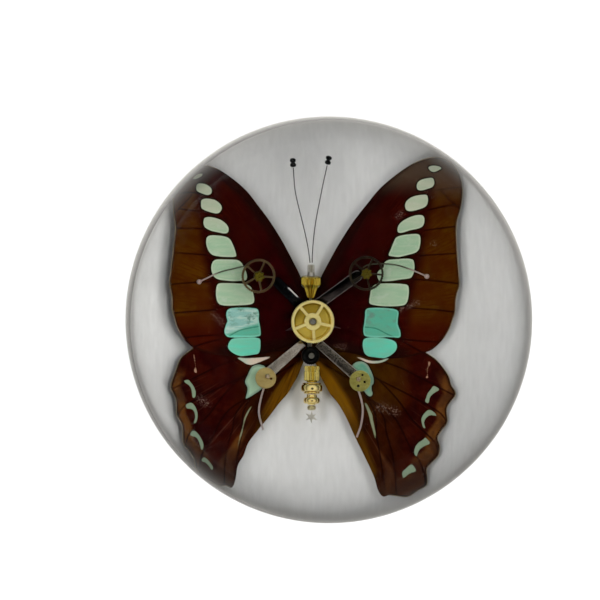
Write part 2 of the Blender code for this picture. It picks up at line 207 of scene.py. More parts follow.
def metal(name, bright, dull, roughness, grain=(1.0, 1.0, 1.0), turn=0.0, patches=0.35, lines=0.5,
          bare=1.0):
    """A worn metal: soft patches between two tones, with fine brushed lines."""
    made, tree = new_material(name)
    broad = tree.noise(tree.coords(), 0.55, 3.0, 0.6)
    fine = tree.noise(tree.coords(tuple(1000.0 * g for g in grain), (0.0, 0.0, turn)), 3.0, 3.0, 0.6)
    worn = tree.plus(tree.times(tree.step(broad, 0.35, 0.65), patches),
                     tree.times(tree.step(fine, 0.3, 0.7), lines))
    colour = tree.mix(worn, bright, dull)
    rough = tree.plus(roughness, tree.times(tree.math("SUBTRACT", fine, 0.5), roughness * 0.6))
    tree.shader(Base_Color=colour, Metallic=bare, Roughness=rough,
                Normal=tree.bump(fine, 0.2, 0.00002))
    return made


def leg_material():
    """A wire whose colour is a painted reflection: dull olive near the wheel, pale pink towards its ball."""
    made, tree = new_material("foreleg_wire")
    outward = tree.math("ABSOLUTE", tree.from_middle())
    fine = tree.noise(tree.coords(), 3.0, 3.0, 0.6)
    dark = tree.mix(fine, (0.10, 0.10, 0.06), (0.05, 0.055, 0.03))
    pale = tree.mix(fine, (0.62, 0.48, 0.43), (0.40, 0.31, 0.28))
    # Painted reflection: the tone goes from olive near the wheel to pale pink outwards
    tree.shader(Base_Color=tree.fade(outward, 18.5, 20.5, dark, pale), Metallic=0.6,
                Roughness=tree.plus(0.25, tree.times(fine, 0.2)))
    return made


def arm_material(name, tones, edge, turn, bar=None, scraped=0.0, roughness=0.08):
    """Dark steel with lengthwise scratches and pale bevels; the pale bevels are partly worn edges and
    partly painted highlight.

    The near-black tones of the upper arms are painted shade, for polished steel that mirrors dark
    surroundings. Where a bar is given, only that stretch of one bevel is pale: it is a painted highlight,
    between two places along Y in millimetres.
    """
    made, tree = new_material(name)
    normal = tree.split(tree.add("NewGeometry").outputs["True Normal"])
    # Pale bevels: partly worn edges, partly painted highlight
    bevel = tree.step(normal["Z"], 0.97, 0.9)
    scratches = tree.noise(tree.coords((700.0, 5200.0, 1000.0), (0.0, 0.0, turn)), 1.0, 3.0, 0.6)
    specks = tree.noise(tree.coords(), 4.0, 3.0, 0.7)
    mottled = tree.times(tree.step(scratches, 0.35, 0.65), tree.step(specks, 0.42, 0.62))
    near = tree.step(tree.from_middle(), scraped, scraped + 1.5, 1.0, 0.0)
    colour = tree.mix(tree.math("MAXIMUM", mottled, tree.times(near, tree.step(specks, 0.42, 0.6))), *tones)
    # Painted highlight: the bar keeps the pale bevel to one stretch on the side facing +X
    if bar:
        along = tree.split(tree.coords())["Y"]
        stretch = tree.times(tree.step(along, bar[0] - 0.3, bar[0]),
                             tree.step(along, bar[1], bar[1] + 0.3, 1.0, 0.0))
        bevel = tree.times(bevel, tree.times(stretch, tree.step(normal["X"], 0.0, 0.1)))
    tree.shader(Base_Color=tree.mix(bevel, colour, edge), Metallic=1.0,
                Roughness=tree.plus(roughness, tree.times(specks, 0.12)))
    return made


# ---------------------------------------------------------------- mesh tools

def add_piece(name, mesh, finish, place=SPECIMEN_PLACE, smooth_below=35.0):
    """Puts one piece in the scene in place of the CAD node of the same name."""
    mesh.name = name
    mesh.transform(place)
    mesh.materials.clear()
    mesh.materials.append(finish)
    mesh.shade_smooth()
    mesh.set_sharp_from_angle(angle=math.radians(smooth_below))
    piece = bpy.data.objects.new(name + "_look", mesh)
    bpy.context.collection.objects.link(piece)
    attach(piece, "root")
    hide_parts(name)


def new_mesh(verts, faces):
    mesh = bpy.data.meshes.new("piece")
    mesh.from_pydata([tuple(v) for v in verts], [], faces)
    shape = bmesh.new()
    shape.from_mesh(mesh)
    bmesh.ops.recalc_face_normals(shape, faces=shape.faces)
    shape.to_mesh(mesh)
    shape.free()
    return mesh


def on_circle(radius, angle):
    return (radius * math.cos(angle), radius * math.sin(angle))


def circle(radius, points, centre=(0.0, 0.0)):
    return [(centre[0] + radius * math.cos(math.tau * k / points),
             centre[1] + radius * math.sin(math.tau * k / points)) for k in range(points)]


def plate(loops, level, bevel=0.05, bevel_steps=2):
    """A flat piece with rounded edges: the first loop is its outline, the others are holes."""
    curve = bpy.data.curves.new("plate", "CURVE")
    curve.dimensions = "2D"
    curve.fill_mode = "BOTH"
    curve.offset = -bevel
    curve.bevel_depth = bevel
    curve.bevel_resolution = bevel_steps
    curve.extrude = (level[1] - level[0]) / 2 - bevel
    for loop in loops:
        spline = curve.splines.new("POLY")
        spline.points.add(len(loop) - 1)
        for point, (x, y) in zip(spline.points, loop):
            point.co = (x, y, 0.0, 1.0)
        spline.use_cyclic_u = True
    holder = bpy.data.objects.new("plate", curve)
    bpy.context.collection.objects.link(holder)
    bpy.context.view_layer.update()
    found = holder.evaluated_get(bpy.context.evaluated_depsgraph_get())
    mesh = bpy.data.meshes.new_from_object(found)
    bpy.data.objects.remove(holder)
    bpy.data.curves.remove(curve)
    shape = bmesh.new()
    shape.from_mesh(mesh)
    bmesh.ops.remove_doubles(shape, verts=shape.verts, dist=0.0005)
    bmesh.ops.dissolve_degenerate(shape, edges=shape.edges, dist=0.0002)
    bmesh.ops.translate(shape, verts=shape.verts, vec=(0.0, 0.0, (level[0] + level[1]) / 2))
    bmesh.ops.recalc_face_normals(shape, faces=shape.faces)
    shape.to_mesh(mesh)
    shape.free()
    return mesh


def loft(rings):
    """Closed rings of equal count joined in order, closed by fans at both ends."""
    sides = len(rings[0])
    verts = [tuple(point) for ring in rings for point in ring]
    faces = []
    for row in range(len(rings) - 1):
        for k in range(sides):
            a = row * sides + k
            b = row * sides + (k + 1) % sides
            faces.append((a, b, b + sides, a + sides))
    for row in (0, len(rings) - 1):
        middle = sum((Vector(p) for p in rings[row]), Vector()) / sides
        verts.append(tuple(middle))
        for k in range(sides):
            faces.append((row * sides + k, row * sides + (k + 1) % sides, len(verts) - 1))
    return new_mesh(verts, faces)


def rounded(stations, corner):
    """Cuts each corner of a profile twice, so that it catches the light."""
    points = [Vector(s) for s in stations]
    made = [points[0]]
    for before, here, after in zip(points, points[1:], points[2:]):
        a, b = before - here, after - here
        near = min(corner, a.length * 0.4, b.length * 0.4)
        if near < 1e-4:
            made.append(here)
            continue
        start, end = here + a.normalized() * near, here + b.normalized() * near
        made += [start, (start + end) / 4 + here / 2, end]
    made.append(points[-1])
    return made


def spun(stations, centre, axis="Z", flutes=0, sides=48, corner=0.08, phase=0.0):
    """A round piece about a vertical axis (or the body axis, axis Y) from (place, radius, flute depth)."""
    full = [tuple(s) + (0.0,) * (3 - len(s)) for s in stations]
    if flutes:
        sides = flutes * 12
    rings = []
    for place, radius, depth in rounded(full, corner):
        ring = []
        for k in range(sides):
            angle = math.tau * k / sides
            wave = 0.5 - 0.5 * math.cos(flutes * angle) if flutes else 0.0
            across, up = on_circle(radius - depth * wave, angle + phase)
            if axis == "Z":
                ring.append((centre[0] + across, centre[1] + up, place))
            else:
                ring.append((centre[0] + across, place, BODY_AXIS_HEIGHT + up))
        rings.append(ring)
    return loft(rings)


def catmull(points, steps, closed=False):
    points = [Vector(p) for p in points]
    count = len(points)
    spans = count if closed else count - 1
    made = []
    for k in range(spans * steps + (0 if closed else 1)):
        span = min(k // steps, spans - 1)
        t = k / steps - span
        p = [points[(span + j) % count] if closed else points[min(max(span + j, 0), count - 1)]
             for j in (-1, 0, 1, 2)]
        made.append(0.5 * (2 * p[1] + (p[2] - p[0]) * t + (2 * p[0] - 5 * p[1] + 4 * p[2] - p[3]) * t ** 2
                           + (3 * p[1] - p[0] - 3 * p[2] + p[3]) * t ** 3))
    return made


def rod(route, radii, sides=14):
    """A wire along a route, with its own radius at every point."""
    rings = []
    side = None
    for k, (place, radius) in enumerate(zip(route, radii)):
        ahead = (route[min(k + 1, len(route) - 1)] - route[max(k - 1, 0)]).normalized()
        if side is None:
            side = ahead.cross(Vector((0, 0, 1))).normalized()
        side = (side - ahead * side.dot(ahead)).normalized()
        up = side.cross(ahead)
        rings.append([place + side * x + up * y for x, y in circle(radius, sides)])
    return loft(rings)


# ---------------------------------------------------------------- materials

def glass_material():
    made, tree = new_material("clear_glass")
    ground = tree.step(tree.split(tree.coords())["Z"], 0.05, 0.5, 1.0, 0.0)
    grit = tree.noise(tree.coords(), 2.5, 2.0)
    tree.shader(Base_Color=(1.0, 1.0, 1.0), Transmission_Weight=1.0, IOR=GLASS_IOR,
                Roughness=tree.times(ground, tree.plus(0.12, tree.times(grit, 0.2))))
    return made


def card_material():
    made, tree = new_material("white_card")
    fibres = tree.noise(tree.coords((900.0, 220.0, 900.0)), 1.3, 4.0, 0.65)
    clouds = tree.noise(tree.coords(), 0.08, 2.0)
    tone = tree.plus(tree.times(fibres, 0.6), tree.times(clouds, 0.4))
    colour = tree.fade(tone, 0.3, 0.7, (0.66, 0.66, 0.64), (0.74, 0.74, 0.72))
    node = tree.shader(Base_Color=colour, Roughness=0.9, Normal=tree.bump(fibres, 0.05, 0.00003))
    node.inputs["Specular IOR Level"].default_value = 0.2
    return made


# ---------------------------------------------------------------- case

def glass_dome(finish):
    foot_angle = math.acos((FOOT_CHAMFER - DOME_CENTRE_HEIGHT) / DOME_RADIUS)
    rows = []
    for k in range(1, DOME_ROWS + 1):
        angle = foot_angle * k / DOME_ROWS
        rows.append((DOME_CENTRE_HEIGHT + DOME_RADIUS * math.cos(angle), DOME_RADIUS * math.sin(angle)))
    rows += [(0.0, rows[-1][1] - FOOT_CHAMFER), (0.0, RECESS_RADIUS), (RECESS_DEPTH, RECESS_RADIUS)]
    verts = [(x, y, height) for height, radius in rows for x, y in circle(radius, DOME_SEGMENTS)]
    faces = []
    for row in range(len(rows) - 1):
        for k in range(DOME_SEGMENTS):
            a = row * DOME_SEGMENTS + k
            b = row * DOME_SEGMENTS + (k + 1) % DOME_SEGMENTS
            faces.append((a, b, b + DOME_SEGMENTS, a + DOME_SEGMENTS))
    last = (len(rows) - 1) * DOME_SEGMENTS
    faces.append(tuple(range(last, last + DOME_SEGMENTS)))
    verts.append((0.0, 0.0, DOME_CENTRE_HEIGHT + DOME_RADIUS))
    faces += [(k, (k + 1) % DOME_SEGMENTS, len(verts) - 1) for k in range(DOME_SEGMENTS)]
    add_piece("glass_dome", new_mesh(verts, faces), finish, CASE_PLACE, 30.0)


def backing_disc(finish):
    radius, low, high = BACKING
    edge = 0.15
    mesh = spun([(low, radius - edge), (low + edge, radius), (high - edge, radius),
                                 (high, radius - edge)], (0.0, 0.0), sides=DOME_SEGMENTS, corner=0.05)
    add_piece("backing_disc", mesh, finish, CASE_PLACE)


# ---------------------------------------------------------------- wings

FOREWING_OUTLINE = [
    (0.3, 4.0), (0.6, 5.9), (1.75, 6.75), (1.9, 8.3), (3.85, 12.15), (5.95, 15.95), (8.5, 19.9), (11.0, 23.2),
    (13.2, 26.0), (15.6, 28.3), (18.0, 30.3), (20.7, 32.3), (23.5, 33.8), (26.2, 34.8),
    (28.4, 34.9), (29.9, 34.1), (30.8, 32.1), (31.1, 29.4), (30.9, 26.9), (30.4, 24.4),
    (29.8, 22.2), (29.1, 20.2), (28.8, 17.5), (28.9, 13.7), (29.1, 10.2), (29.3, 7.3),
    (28.8, 5.6), (28.5, 4.0), (28.4, 1.9), (27.9, 0.3), (27.2, -1.6), (26.0, -3.5),
    (24.4, -5.1), (22.8, -6.0), (19.0, -7.0), (15.5, -7.3), (12.0, -7.0), (8.0, -6.2),
    (4.0, -5.0), (0.9, -3.6)]
HINDWING_OUTLINE = {
    "right": [
        (1.0, -3.2), (8.0, -2.6), (16.0, -3.4), (21.5, -5.2), (22.8, -6.1), (24.7, -7.4),
        (26.1, -9.0), (27.2, -10.7), (27.7, -12.3), (28.5, -13.6), (28.5, -14.5), (27.8, -15.4),
        (26.9, -17.0), (27.1, -19.6), (26.0, -21.3), (25.3, -22.7), (25.8, -24.5), (25.6, -26.4),
        (24.2, -28.0), (23.5, -29.2), (23.9, -31.7), (23.8, -33.2), (22.2, -34.2), (20.3, -35.6),
        (17.9, -35.2), (16.2, -34.8), (15.0, -35.0), (13.9, -33.5), (13.1, -30.9), (12.0, -28.4),
        (10.5, -25.4), (8.9, -22.2), (7.2, -18.6), (5.6, -16.0), (4.2, -14.4), (3.1, -12.5),
        (2.2, -10.9), (1.6, -9.2), (1.0, -7.4)],
    "left": [
        (1.0, -3.2), (8.0, -2.6), (16.0, -3.4), (21.8, -4.9), (23.6, -5.9), (26.0, -7.8),
        (27.2, -10.5), (28.4, -13.8), (27.8, -15.2), (27.2, -16.8), (27.3, -19.6), (26.4, -21.2),
        (26.1, -22.8), (26.3, -26.0), (25.0, -27.8), (24.2, -29.5), (24.2, -31.7), (23.3, -33.6),
        (21.6, -34.6), (19.1, -35.5), (17.3, -34.9), (15.9, -35.0), (14.9, -32.6), (14.2, -29.3),
        (12.9, -27.0), (12.0, -24.5), (9.9, -21.6), (7.8, -19.0), (5.9, -16.4), (4.2, -14.4),
        (3.1, -12.5), (2.2, -10.9), (1.6, -9.2), (1.0, -7.4)]}

# Marks of the wings, as they were read in enlarged views of the photograph. Each view has its
# enlargement and its corner in the photograph, and the points are in the enlarged view's own pixels.
FOREWING_VIEW = {"zoom": 7.0, "left": (165, 150), "right": (350, 150)}
HINDWING_VIEW = {"zoom": 9.0, "left": (165, 345), "right": (340, 345)}
# Green and blue-green marks of the forewing's band, from the apex to the rear edge
FOREWING_SPOTS = {
    "right": [
        [(553, 127), (568, 114), (600, 112), (632, 120), (643, 133), (625, 145), (595, 157), (570, 150)],
        [(470, 255), (480, 228), (505, 210), (545, 200), (580, 198), (592, 215), (594, 238), (580, 262),
         (545, 275), (505, 286), (478, 280)],
        [(388, 392), (398, 362), (425, 338), (465, 322), (510, 316), (540, 318), (549, 340), (547, 372),
         (530, 400), (485, 418), (430, 430), (398, 422)],
        [(335, 555), (345, 525), (370, 500), (410, 478), (460, 460), (505, 458), (522, 475), (523, 505),
         (512, 535), (480, 552), (420, 565), (370, 580), (340, 578)],
        [(272, 735), (290, 690), (310, 640), (330, 610), (380, 596), (440, 590), (480, 592), (494, 612),
         (494, 660), (480, 705), (450, 725), (400, 738), (345, 750), (290, 745)],
        [(190, 875), (203, 845), (235, 825), (242, 790), (275, 770), (340, 765), (400, 762), (440, 770),
         (452, 800), (452, 845), (440, 880), (420, 900), (360, 908), (290, 918), (235, 920), (205, 915)],
        [(135, 1055), (140, 1020), (150, 975), (175, 945), (225, 935), (300, 935), (370, 940), (405, 950),
         (413, 985), (408, 1040), (395, 1075), (370, 1090), (300, 1096), (220, 1094), (160, 1085),
         (138, 1075)],
        [(98, 1220), (105, 1165), (108, 1125), (130, 1108), (200, 1105), (280, 1110), (325, 1120),
         (340, 1140), (335, 1185), (335, 1225), (350, 1265), (354, 1300), (340, 1315), (270, 1312),
         (180, 1312), (110, 1305), (95, 1285), (93, 1250)],
        [(88, 1355), (98, 1325), (130, 1315), (190, 1315), (260, 1322), (310, 1340), (328, 1370),
         (320, 1405), (290, 1435), (240, 1460), (190, 1465), (140, 1452), (105, 1430), (92, 1395)]],
    "left": [
        [(200, 195), (215, 178), (245, 163), (266, 164), (262, 178), (240, 192), (215, 200)],
        [(222, 262), (228, 238), (250, 230), (285, 235), (315, 252), (330, 275), (326, 300), (300, 311),
         (262, 300), (228, 283)],
        [(256, 380), (258, 350), (280, 337), (320, 338), (362, 352), (392, 378), (400, 405), (385, 432),
         (360, 440), (320, 432), (275, 415), (258, 400)],
        [(273, 500), (280, 475), (305, 466), (345, 470), (395, 487), (430, 515), (447, 545), (440, 575),
         (415, 581), (370, 572), (320, 560), (285, 540), (274, 520)],
        [(290, 640), (295, 610), (320, 594), (365, 594), (420, 602), (455, 620), (475, 655), (492, 700),
         (500, 735), (485, 745), (430, 745), (370, 740), (330, 728), (305, 700), (293, 665)],
        [(325, 810), (335, 780), (360, 763), (410, 762), (470, 763), (515, 770), (545, 800), (575, 870),
         (570, 905), (540, 912), (480, 915), (420, 910), (370, 900), (340, 880), (327, 845)],
        [(357, 1000), (362, 950), (380, 930), (430, 928), (500, 930), (560, 935), (600, 955), (615, 990),
         (625, 1040), (620, 1068), (590, 1080), (520, 1085), (440, 1087), (390, 1080), (368, 1060),
         (360, 1030)],
        [(430, 1140), (440, 1115), (470, 1103), (540, 1100), (600, 1102), (645, 1110), (658, 1140),
         (657, 1185), (665, 1230), (670, 1280), (660, 1300), (600, 1308), (520, 1310), (450, 1308),
         (425, 1295), (415, 1265), (425, 1225), (437, 1195), (430, 1165)],
        [(440, 1370), (450, 1340), (475, 1318), (540, 1313), (610, 1310), (660, 1318), (668, 1350),
         (665, 1395), (650, 1425), (610, 1440), (560, 1445), (510, 1435), (470, 1415), (445, 1390)]]}
CREASE = {
    "right": [
        [(100, 1240), (180, 1250), (250, 1285), (310, 1312)]],
    "left": [
        [(450, 1298), (520, 1262), (590, 1245), (665, 1232)]]}
HINDWING_MARKS = {
    "right": [
        [(790, 148), (815, 155), (812, 185), (795, 210), (790, 255), (795, 300), (775, 305), (765, 295),
         (778, 270), (775, 225), (788, 185)],
        [(838, 375), (870, 385), (888, 405), (860, 425), (830, 445), (805, 475), (795, 520), (785, 525),
         (765, 510), (775, 475), (790, 435), (815, 405)],
        [(790, 590), (815, 592), (848, 615), (862, 640), (830, 635), (800, 637), (775, 655), (757, 680),
         (752, 710), (762, 750), (745, 745), (735, 710), (730, 670), (745, 635), (765, 610)],
        [(765, 840), (790, 865), (803, 890), (770, 905), (740, 920), (710, 945), (695, 975), (685, 1005),
         (670, 990), (665, 960), (675, 920), (700, 885), (730, 865), (750, 850)],
        [(640, 1080), (665, 1105), (675, 1140), (640, 1150), (610, 1165), (580, 1190), (565, 1200),
         (555, 1165), (560, 1140), (585, 1120), (610, 1095)]],
    "left": [
        [(250, 80), (268, 85), (275, 140), (280, 190), (288, 240), (272, 250), (255, 225), (268, 190),
         (262, 150), (255, 110)],
        [(170, 318), (205, 310), (225, 330), (255, 370), (272, 420), (265, 465), (245, 465), (240, 420),
         (230, 380), (205, 350), (180, 335)],
        [(183, 540), (205, 520), (240, 520), (270, 555), (288, 610), (285, 660), (270, 695), (255, 695),
         (268, 650), (262, 600), (235, 570), (195, 565)],
        [(222, 800), (240, 770), (270, 775), (310, 820), (335, 870), (340, 910), (325, 940), (315, 910),
         (300, 860), (275, 825), (240, 815)],
        [(325, 1040), (340, 1010), (370, 1020), (400, 1055), (425, 1095), (415, 1120), (390, 1085),
         (360, 1055)]]}
HINDWING_TEAL = {
    "right": [
        [(85, 250), (95, 205), (120, 170), (160, 150), (205, 152), (245, 178), (270, 220), (290, 265),
         (302, 310), (298, 350), (283, 370), (283, 410), (292, 440), (270, 465), (240, 450), (215, 420),
         (170, 360), (110, 300)]],
    "left": [
        [(722, 478), (735, 430), (740, 380), (718, 330), (740, 270), (775, 200), (820, 175), (860, 175),
         (900, 195), (930, 260), (900, 330), (870, 390), (810, 435), (750, 470)]]}
HINDWING_PALE = {
    "right": [
        [(150, 110), (200, 120), (250, 138), (310, 146), (370, 140), (440, 118), (400, 148), (350, 163),
         (290, 166), (240, 156), (185, 130)],
        [(218, 515), (240, 525), (265, 570), (290, 625), (300, 680), (312, 740), (322, 800), (318, 860),
         (305, 840), (285, 770), (265, 700), (248, 630), (230, 575), (215, 535)]],
    "left": [
        [(650, 112), (720, 116), (790, 115), (860, 110), (945, 106), (900, 130), (840, 155), (780, 175),
         (730, 165), (690, 140)],
        [(795, 540), (770, 545), (735, 590), (705, 650), (690, 720), (670, 790), (655, 850), (640, 960),
         (655, 930), (668, 870), (692, 800), (706, 735), (725, 670), (752, 610), (780, 560)]]}
FOREWING_VEINS = {
    "right": [
        [(25.0, 26.6), (27.8, 27.1), (30.9, 27.8)], [(26.0, 26.5), (27.3, 25.0), (28.5, 23.9), (29.7, 22.8)],
        [(23.1, 22.2), (25.8, 22.9), (29.0, 23.7)], [(22.3, 18.0), (25.5, 18.5), (28.8, 19.0)],
        [(21.2, 12.9), (24.8, 13.2), (28.8, 13.5)], [(19.8, 8.3), (24.4, 8.0), (29.1, 7.5)],
        [(18.9, 2.7), (24.5, 2.3), (28.4, 1.9)], [(17.7, -3.4), (21.2, -3.8), (25.4, -4.0)],
        [(16.7, -3.1), (19.7, -4.8), (22.1, -6.1)]],
    "left": [
        [(24.0, 26.6), (26.6, 27.3), (30.6, 27.9)], [(26.0, 26.5), (27.3, 25.0), (28.5, 23.9), (29.7, 22.8)],
        [(23.1, 22.2), (25.8, 22.9), (29.0, 23.7)], [(22.3, 18.6), (25.4, 18.8), (28.9, 19.2)],
        [(21.3, 13.1), (28.7, 13.8)], [(20.0, 7.7), (28.9, 7.2)], [(18.8, 2.0), (28.1, 1.3)],
        [(17.7, -3.0), (23.0, -3.4), (25.6, -3.8)], [(16.4, -3.6), (20.1, -4.4), (23.6, -5.5)]]}
FOREWING_INNER_VEINS = [
    [(1.6, 4.0), (5.2, 11.4), (9.6, 18.8), (14.0, 24.6), (19.0, 29.0)],
    [(1.5, 2.0), (6.0, 9.6), (10.4, 16.0), (14.6, 21.4), (18.2, 25.4), (21.3, 28.6)],
    [(1.5, 1.0), (8.0, 2.6), (12.4, 5.3), (14.2, 9.6), (15.2, 14.0), (16.6, 17.2), (18.2, 21.3)],
    [(1.4, 0.2), (6.0, -1.4), (10.0, -3.2)],
    [(8.0, 2.6), (10.6, 2.5), (18.9, 2.6)], [(13.4, 7.5), (20.0, 7.8)], [(15.3, 12.5), (21.3, 12.9)],
    [(16.9, 17.1), (22.2, 17.9)], [(18.3, 21.5), (23.1, 22.2)], [(20.7, 25.6), (24.5, 26.4)],
    [(10.0, -3.25), (17.5, -3.3)]]
HINDWING_VEINS = [
    [(1.8, -6.0), (8.0, -6.2), (16.7, -8.7), (21.3, -10.8), (25.8, -13.1), (28.4, -14.4)],
    [(1.8, -7.0), (8.0, -8.8), (13.5, -11.4), (19.8, -14.5), (25.3, -17.6), (26.9, -19.5)],
    [(13.5, -11.4), (17.2, -15.2), (20.4, -19.4), (24.5, -23.4), (25.6, -25.6)],
    [(11.5, -15.0), (16.5, -18.5), (20.1, -25.0), (22.1, -27.9), (23.7, -32.7)],
    [(9.5, -12.5), (14.3, -18.2), (15.2, -21.8), (16.6, -26.7), (17.7, -34.5)],
    [(2.2, -8.2), (6.5, -10.6), (9.5, -12.5), (12.8, -17.7), (13.3, -22.4), (14.2, -27.1), (15.3, -33.5)],
    [(2.0, -7.8), (5.0, -11.8), (8.6, -17.5), (11.0, -23.5), (13.0, -29.0)]]
INNER_MARGIN = [(-2.0, -5.0), (2.8, -8.4), (5.4, -11.2), (7.6, -14.4), (10.0, -19.2), (11.9, -24.4),
                (13.8, -29.4), (13.5, -32.0), (5.0, -30.0)]
# Middle of the painted shade on the right hindwing under the right lower disc
SHADE_UNDER_DISC = (9.9, -11.8, 0.0)          # middle of the dark patch painted under the right lower disc
# Places where the scales are rubbed off
WORN = {
    "forewing_right": [[(17.4, 2.2), (18.8, 2.9), (20.9, 3.7)], [(17.1, 20.7), (17.9, 21.3)],
                       [(24.1, 15.3), (24.2, 15.4)], [(5.2, -5.2), (6.7, -5.2)]],
    "forewing_left": [[(19.6, 1.0), (18.5, 0.1), (17.7, -0.7)]],
    "hindwing_right": [[(13.6, -16.7), (15.2, -17.1), (17.0, -17.6)]],
    "hindwing_left": [[(22.0, -16.1), (20.5, -16.8)]]}


def line_of_sight():
    across, up = math.sin(VIEW_SLANT[0]), math.sin(VIEW_SLANT[1])
    return Vector((across, up, -math.sqrt(1.0 - across ** 2 - up ** 2)))


def refracted(ray, normal, ratio):
    """Snell's law, for a ray that meets a surface whose normal faces it."""
    facing = -ray.dot(normal)
    return ray * ratio + normal * (ratio * facing - math.sqrt(1.0 - ratio ** 2 * (1.0 - facing ** 2)))


def on_specimen(pixel, height):
    """The place at a height on the specimen that the photograph shows at a pixel, through ball and recess."""
    ahead = line_of_sight()
    right = (Vector((1.0, 0.0, 0.0)) - ahead * ahead.x).normalized()
    top = right.cross(ahead)
    outline = DOME_RADIUS / math.sqrt(1.0 - (DOME_RADIUS / VIEW_DISTANCE) ** 2)
    across = outline * (pixel[0] - PHOTO_DOME_CENTRE[0]) / PHOTO_DOME_RADIUS
    up = outline * (PHOTO_DOME_CENTRE[1] - pixel[1]) / PHOTO_DOME_RADIUS
    eye = -ahead * VIEW_DISTANCE
    ray = (right * across + top * up - eye).normalized()
    half = eye.dot(ray)
    place = eye + ray * (-half - math.sqrt(half ** 2 - eye.length_squared + DOME_RADIUS ** 2))
    ray = refracted(ray, place.normalized(), 1.0 / GLASS_IOR)
    place.z += DOME_CENTRE_HEIGHT
    place += ray * ((RECESS_DEPTH - place.z) / ray.z)
    ray = refracted(ray, Vector((0.0, 0.0, 1.0)), GLASS_IOR)
    place += ray * ((height - RECESS_DEPTH) / ray.z)
    return SPECIMEN_PLACE.inverted() @ (place * MM)


def marks_of(marks, view, side, height):
    """Brings marks from an enlarged view onto the plan of a wing, which is drawn as a right wing."""
    sign = -1.0 if side == "left" else 1.0
    left, top = view[side]
    found = []
    for line in marks[side]:
        places = [on_specimen((left + x / view["zoom"], top + y / view["zoom"]), height) for x, y in line]
        found.append([(sign * place.x, place.y) for place in places])
    return found


def to_segments(lines, closed):
    pairs = []
    for line in lines:
        points = [tuple(p)[:2] for p in line]
        ends = points[1:] + (points[:1] if closed else [])
        pairs += list(zip(points, ends))
    return np.array(pairs, float)


def distance_to(points, lines, closed=False):
    """Distance from every point to the nearest of some lines."""
    best = np.full(len(points), 1e9)
    for (ax, ay), (bx, by) in to_segments(lines, closed):
        dx, dy = bx - ax, by - ay
        along = ((points[:, 0] - ax) * dx + (points[:, 1] - ay) * dy) / max(dx * dx + dy * dy, 1e-12)
        along = np.clip(along, 0.0, 1.0)
        best = np.minimum(best, np.hypot(points[:, 0] - ax - along * dx, points[:, 1] - ay - along * dy))
    return best


def inside(points, loop):
    found = np.zeros(len(points), bool)
    for (ax, ay), (bx, by) in to_segments([loop], True):
        crosses = (ay > points[:, 1]) != (by > points[:, 1])
        if ay != by:
            found ^= crosses & (points[:, 0] < (bx - ax) * (points[:, 1] - ay) / (by - ay) + ax)
    return found


def depth_in(points, loops):
    """How far inside the nearest loop each point is; negative outside."""
    best = np.full(len(points), -1e9)
    for loop in loops:
        far = distance_to(points, [loop], True)
        best = np.maximum(best, np.where(inside(points, loop), far, -far))
    return best


def wing_grid(outline):
    """Points of an even triangular grid inside an outline, joined up with the outline itself."""
    border = [Vector(p) for p in outline]
    edge = []
    for k, here in enumerate(border):
        ahead = border[(k + 1) % len(border)]
        steps = max(1, round((ahead - here).length / WING_GRID))
        edge += [here.lerp(ahead, j / steps) for j in range(steps)]
    low = np.min([tuple(p) for p in border], 0)
    high = np.max([tuple(p) for p in border], 0)
    rows = []
    row_step = WING_GRID * math.sqrt(0.75)
    for j in range(int((high[1] - low[1]) / row_step) + 1):
        xs = np.arange(low[0] + (j % 2) * WING_GRID / 2, high[0], WING_GRID)
        rows.append(np.stack([xs, np.full(len(xs), low[1] + j * row_step)], 1))
    grid = np.concatenate(rows)
    loop = [tuple(p) for p in edge]
    grid = grid[inside(grid, loop)]
    grid = grid[distance_to(grid, [loop], True) > WING_GRID * 0.6]
    points = [Vector(p) for p in loop] + [Vector(p) for p in grid.tolist()]
    edges = [(k, (k + 1) % len(loop)) for k in range(len(loop))]
    found = delaunay_2d_cdt(points, edges, [], 1, 1e-5)
    return np.array([tuple(p) for p in found[0]]), [tuple(f) for f in found[2]], loop


def wing_mesh(plan, faces, top, bottom, side, facts):
    """A thin closed sheet with a shaped upper face and per-point numbers for its colours."""
    sign = -1.0 if side == "left" else 1.0
    count = len(plan)
    verts = [(sign * x, y, z) for (x, y), z in zip(plan, top)]
    verts += [(sign * x, y, bottom) for x, y in plan]
    edges = dict.fromkeys((a, b) for f in faces for a, b in zip(f, f[1:] + f[:1]))
    solid = faces + [tuple(i + count for i in reversed(f)) for f in faces]
    for a, b in edges:
        if (b, a) not in edges:
            solid.append((b, a, a + count, b + count))
    mesh = new_mesh(verts, solid)
    for key, numbers in facts.items():
        if numbers.ndim == 1:
            layer = mesh.attributes.new(key, "FLOAT", "POINT")
            layer.data.foreach_set("value", np.tile(numbers, 2).astype(np.float32))
        else:
            layer = mesh.attributes.new(key, "FLOAT_VECTOR", "POINT")
            layer.data.foreach_set("vector", np.tile(numbers, (2, 1)).astype(np.float32).ravel())
    return mesh


def grain_of(plan, root, phase):
    """Numbers that run along and across the rays from the wing's root, for streaky patterns."""
    away = plan - np.array(root)
    angle = np.degrees(np.arctan2(away[:, 1], away[:, 0]))
    return np.stack([angle, np.hypot(away[:, 0], away[:, 1]), np.full(len(plan), phase)], 1)


def waves(plan, phase):
    """Slow bends of a dried wing, at most about 1 high and low."""
    x, y = plan[:, 0], plan[:, 1]
    return (np.sin(x * 0.33 + y * 0.12 + phase) + np.sin(y * 0.41 - x * 0.17 + 1.7 * phase)
            + 0.6 * np.sin(x * 0.8 + 0.5 * y + 2.3 * phase)) / 2.6


